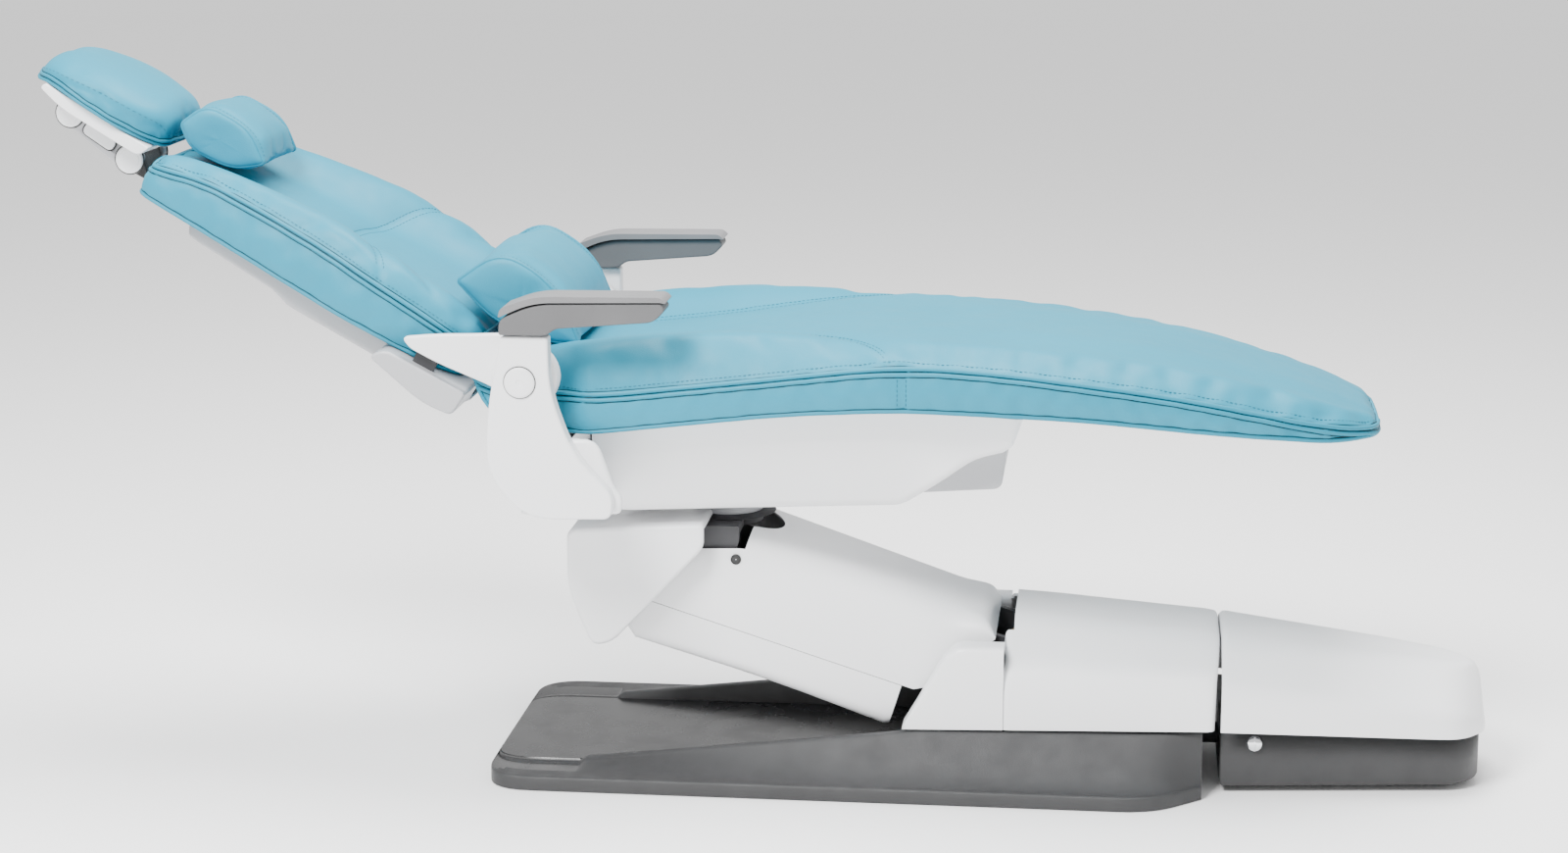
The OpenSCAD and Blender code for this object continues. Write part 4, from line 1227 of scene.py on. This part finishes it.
def build_arm_covers():
    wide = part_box("arm_top_cover")[1].y / MM
    top = track((46, 47, 0), (66, 66, 12), (424, 76, 10), (550, 32, 6), (562, -60, 0))
    bottom = track((46, 44, 0), (124, -64, 6), (562, -64, 0))
    rings = []
    stations = spread(46, 70, 9) + steps_between(76, 416, 14) + spread(420, 432, 4) \
        + steps_between(440, 545, 12) + spread(548, 562, 4)
    for s in stations:
        low, high = bottom(s), top(s)
        roll = min(62, 0.9 * (high - low))
        path = corner_path([(wide, low, 0), (wide, high, roll), (0, high, 0)], 10)
        path.insert(1, Vector((wide, low + 0.3 * (path[1].y - low))))
        rings.append([arm.at(s, p.x, p.y) for p in mirror_path(path)])
    cover = skin("arm_cover_upper", rings, white)
    thicken(cover, -3)
    tunnel = box_form("tunnel", (422, 6 - wide, -120), (640, wide - 6, 140), white, 0, arm)
    notch = lathe("notch", [(70, 250), (70, 430)], world.at(-167, 0, 0), UP, white)
    cut_away(cover, tunnel, notch)
    cover.data.set_sharp_from_angle(angle=math.radians(40))
    mount(cover, "arm", "cover_white", "arm_top_cover")

    floor = track((150, -128, 0), (156, -131, 4), (329, -124, 90), (545, -128, 8),
                  (560, -72, 0))
    rings = []
    for s in eased_steps(150, 560, 14, 12):
        low = floor(s)
        path = corner_path([(wide, -65, 0), (wide, low, 22), (0, low, 0)], 8)
        path.insert(1, Vector((wide, (path[1].y - 67) / 2)))
        rings.append([arm.at(s, p.x, p.y) for p in mirror_path(path)])
    lower = skin("arm_cover_lower", rings, white)
    thicken(lower, 3)
    mount(lower, "arm", "cover_white", "arm_under_cover")
    screw = lathe("arm_cover_screw", [(7.5, -2.5), (7.5, 0.4), (6.4, 0.9), (5.4, -0.4), (1.2, -0.6),
                                      (0.3, -1.6)], arm.at(430, -wide, 34), -LEFT, black_plastic)
    mount(screw, "arm", "black_plastic")


# ---- Base ---------------------------------------------------------------------------

def build_skirt():
    lo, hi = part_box("base_skirt")
    front, rear, wide = lo.x / MM, hi.x / MM, hi.y / MM
    half = track((front, 100, 0), (front, wide, 96), (440, wide, 56), (rear, 172, 12))
    ridge = track((front, 20, 0), (-374, 20, 3), (-365, 28, 6), (72, 79, 30), (100, 84, 20),
                  (rear, 92, 0))
    deck = track((front, 20, 0), (-372, 20, 10), (488, 24, 0), (492, 90, 0), (rear, 91, 0))
    inner = [0, 60, 110, 136, 145, 149]
    flank = [170, 176, 184, 194, 205, 216, 225, 231]

    def section(x):
        top, floor = ridge(x), deck(x)
        wide_here = half(x)
        points = [(y, floor) for y in inner]
        points += [(150.5, top - 2.5), (152.5, top - 0.6), (158, top), (163, top - 0.6),
                   (166, top - 3)]
        for y in flank:
            f = (y - 166) / (231 - 166)
            points.append((y, 20 + (top - 23) * (1 - f) ** 1.7))
        points += [(wide - 4.5, 20), (wide - 1.6, 19.3), (wide, 17), (wide, 0)]
        if x < -400:
            return [(y * wide_here / wide, z) for y, z in points]
        inner_edge = 150
        squeeze = min(1.0, (wide_here - inner_edge) / (wide - inner_edge))
        return [(y if y <= inner_edge else inner_edge + (y - inner_edge) * squeeze, z)
                for y, z in points]

    rings = []
    stations = [front, front] + [front + d for d in (0.6, 2, 5, 9, 15, 24, 36, 52, 72, 94)] \
        + steps_between(-390, -378, 6) + spread(-375, -360, 6) + steps_between(-345, 430, 20) \
        + spread(440, 486, 6) + [488, 492, 496, rear - 1.5, rear, rear]
    for i, x in enumerate(stations):
        half_line = section(x)
        if i in (0, len(stations) - 1):
            half_line = [(y, 0) for y, _ in half_line]
        line = [Vector((y, z)) for y, z in reversed(half_line)]
        rings.append([world.at(x, p.x, p.y) for p in mirror_path(line)])
    skirt = outward(skin("skirt_moulding", rings, skirt_dark))
    skirt.data.materials.append(deck_gloss)
    for face in skirt.data.polygons:
        if abs(face.center.y) < 150 * MM and face.normal.z > 0.5:
            face.material_index = 1
        if face.center.x < -0.372 and face.normal.z > 0.8 and abs(face.center.y) < 0.2:
            face.material_index = 1
    skirt.data.set_sharp_from_angle(angle=math.radians(50))
    mount(skirt, "base", "skirt_dark", "base_skirt")


def build_housing():
    """The rounded rear housing with a cheek on each side of the lift arm."""
    wide, slot_y = 165, 120
    base_line = track((87, 85.5, 0), (524, 96.5, 0))
    cheek_top = track((87, 87, 0), (144, 190, 14), (163, 208, 12), (229, 208, 0))
    roof = track((229, 231, 0), (233, 235, 4), (300, 231, 20), (534, 211, 0))
    end_x = track((90, 524, 0), (168, 526, 10), (222, 534, 0))

    def cheek_ring(x):
        low, high = base_line(x), cheek_top(x)
        cut = min(14, 0.4 * (high - low))
        path = corner_path([(wide, low, 0), (wide, (low + high) / 2, 1), (wide, high, cut),
                            (slot_y, high, cut), (slot_y, low, 0)], 7)
        path.insert(1, Vector((wide, low + 1.5)))
        return [world.at(x, p.x, p.y) for p in mirror_path(path)]

    def body_ring(x, inset, slide=0.0):
        low, high = base_line(min(x, 524)), roof(x) - inset
        w = wide - inset
        path = corner_path([(w, low, 0), (w, 168, 38), (78, high, 44), (20, high, 1),
                            (0.1, high, 0)], 7)
        path.insert(1, Vector((w, low + 1.5)))
        return [world.at(min(x, end_x(p.y) - slide) if x > 500 else x, p.x, p.y)
                for p in mirror_path(path)]

    rings = [cheek_ring(x) for x in spread(87, 229, 22)]
    count = len(rings)
    rings += [body_ring(229, 4), body_ring(230.4, 1.4), body_ring(233, 0), body_ring(241, 0)]
    slot_end = count + 3
    rings += [body_ring(x, 0) for x in steps_between(245, 512, 14)]
    for turn in spread(0.2, 1.0, 5):
        angle = turn * math.pi / 2
        rings.append(body_ring(540, 10 * (1 - math.cos(angle)), 10 * (1 - math.sin(angle))))
    middle = (len(rings[0]) - 1) // 2

    def opening(i, j):
        """No floor between the cheeks, and no wall where the lift arm comes out."""
        if count - 1 <= i < slot_end:
            body = rings[max(i, count)]
            return max(abs(body[j].y), abs(body[j + 1].y)) < (slot_y + 1) * MM
        return i < count - 1 and abs(j - middle) < 1

    shell = skin("rear_cover", rings, white, skip=opening)
    thicken(shell, 4, 48)
    mount(shell, "base", "cover_white", "rear_housing")
    for side, tag in ((-1, "right"), (1, "left")):
        inner, outer = sorted((side * (slot_y + 1), side * (wide - 4)))
        end = box_form(f"cheek_end_{tag}", (225, inner, 90), (229, outer, 204), white, 1)
        mount(end, "base", "cover_white")


def build_box():
    wide = track((533, 163, 0), (868, 120, 60), (904, 70, 34), (907, 50, 0))
    base_line = track((531, 95.5, 0), (902, 81.5, 0))
    top = track((533, 205, 0), (538, 211, 5), (800, 181, 60), (897, 164, 14), (904, 138, 10),
                (907, 96, 0))
    shoulder = track((533, 152, 0), (862, 118, 40), (907, 92, 0))
    rings = []
    for x in [533, 533.8, 535.5, 538.5, 544] + steps_between(556, 850, 14) \
            + spread(858, 900, 8) + [903, 905.2, 906.6, 907.2]:
        w, low = wide(x), base_line(x)
        high = top(x)
        fold = min(shoulder(x), high - 4)
        lean = min(78, 0.9 * w)
        path = corner_path([(w, low, 0), (w, fold, 40), (w - lean, high, 46),
                            (0.2 * (w - lean), high, 1), (0, high, 0)], 7)
        path.insert(1, Vector((w, low + 1.5)))
        rings.append([world.at(x, p.x, p.y) for p in mirror_path(path)])
    lid = skin("junction_lid", rings, white)
    thicken(lid, 4, 48)
    mount(lid, "base", "cover_white", "box_cover")

    tray_plan = mirrored_plan([(533, 138, 4), (868, 97, 40), (900, 62, 26)])
    tray = plan_stack("junction_tray", tray_plan,
                      [(9, 7), (9.6, 4), (11.5, 1.6), (15, 0), (40, 0), (92.5, 0)], skirt_dark,
                      (700, 0), slope=lambda x: 0.0377 * (x - 533))
    mount(tray, "base", "skirt_dark", "box_tray")
    for i, x in enumerate((560, 840)):
        for k, y in enumerate((-60, 60)):
            foot = lathe(f"box_foot_{i}{k}", [(10.5, 0), (12, 1.5), (12, 8), (10, 9)],
                         world.at(x, y, 0), UP, rubber)
            if i + k == 0:
                mount(foot, "base", "black_plastic", "box_feet")
            else:
                mount(foot, "base", "black_plastic")


def build_latch():
    centre = joint_point("latch_turn")
    centre.y = 0
    dome = [(11.6, 132.5), (11.8, 134)]
    dome += [(11.2 * math.cos(a), 134.5 + 5 * math.sin(a)) for a in spread(0.1, 1.5, 7)]
    cap = lathe("latch_dome", dome, centre, -LEFT, chrome)
    slit = box_form("latch_slit_cutter", (580.2, -142, 60), (582.2, -136.5, 84), chrome, 0)
    mount(cut_away(cap, slit), "latch", "chrome", "box_latch")
    mount(lathe("latch_stem", [(5.9, 116), (5.9, 133)], centre, -LEFT, steel), "latch", "steel")
    mount(box_form("latch_cam", (576, -125, 67), (586, -121, 94), steel, 1), "latch", "steel")


# ---- Studio -------------------------------------------------------------------------

def area_light(name, spot, target, size, power):
    light = bpy.data.lights.new(name, "AREA")
    light.shape = "DISK"
    light.size = size
    light.energy = power
    obj = bpy.data.objects.new(name, light)
    obj.location = spot
    obj.rotation_euler = (Vector(target) - Vector(spot)).to_track_quat("-Z", "Y").to_euler()
    bpy.context.scene.collection.objects.link(obj)


def studio():
    pale = bpy.data.materials.new("studio_floor")
    pale.use_nodes = True
    shader = pale.node_tree.nodes["Principled BSDF"]
    shader.inputs["Base Color"].default_value = (0.98, 0.98, 0.98, 1)
    shader.inputs["Roughness"].default_value = 0.7
    size = 14
    corners = [(-size, -size, 0), (size, -size, 0), (size, size, 0), (-size, size, 0)]
    floor = mesh_object("studio_floor", [Vector(c) for c in corners], [(0, 1, 2, 3)], pale)
    floor.location.z = -0.001
    sky = bpy.data.worlds.new("studio")
    sky.use_nodes = True
    sky.node_tree.nodes["Background"].inputs["Color"].default_value = (1, 1, 1, 1)
    sky.node_tree.nodes["Background"].inputs["Strength"].default_value = 1.1
    bpy.context.scene.world = sky
    area_light("key", (-1.2, -2.6, 3.4), (0, 0, 0.4), 1.5, 300)
    area_light("top", (0.3, 0.4, 3.8), (0, 0, 0.4), 2.4, 240)


def camera():
    """The photo's viewing angle: a long lens, a little to the foot side and above."""
    azimuth, elevation, distance = math.radians(6.454), math.radians(11.954), 4.414
    target = Vector((-0.0986, 0, 0.4827))
    away = Vector((math.sin(azimuth) * math.cos(elevation),
                   -math.cos(azimuth) * math.cos(elevation), math.sin(elevation)))
    data = bpy.data.cameras.new("photo_view")
    data.sensor_width = 36
    data.lens = 70.245
    obj = bpy.data.objects.new("photo_view", data)
    obj.location = target + away * distance
    obj.rotation_euler = (-away).to_track_quat("-Z", "Y").to_euler()
    bpy.context.scene.collection.objects.link(obj)
    bpy.context.scene.camera = obj


# ---- Build --------------------------------------------------------------------------

dress_cad_nodes()
build_skirt()
build_housing()
build_box()
build_latch()
build_arm_covers()
build_carriage_cover()
build_seat_shell()
build_side_arms()
build_armrests()
build_back_arms()
build_back_shell()
build_headrest_bar()
build_headrest_metal()
build_seat_cushion()
build_back_cushion()
build_pillows()
build_headrest_cushion()
studio()
camera()
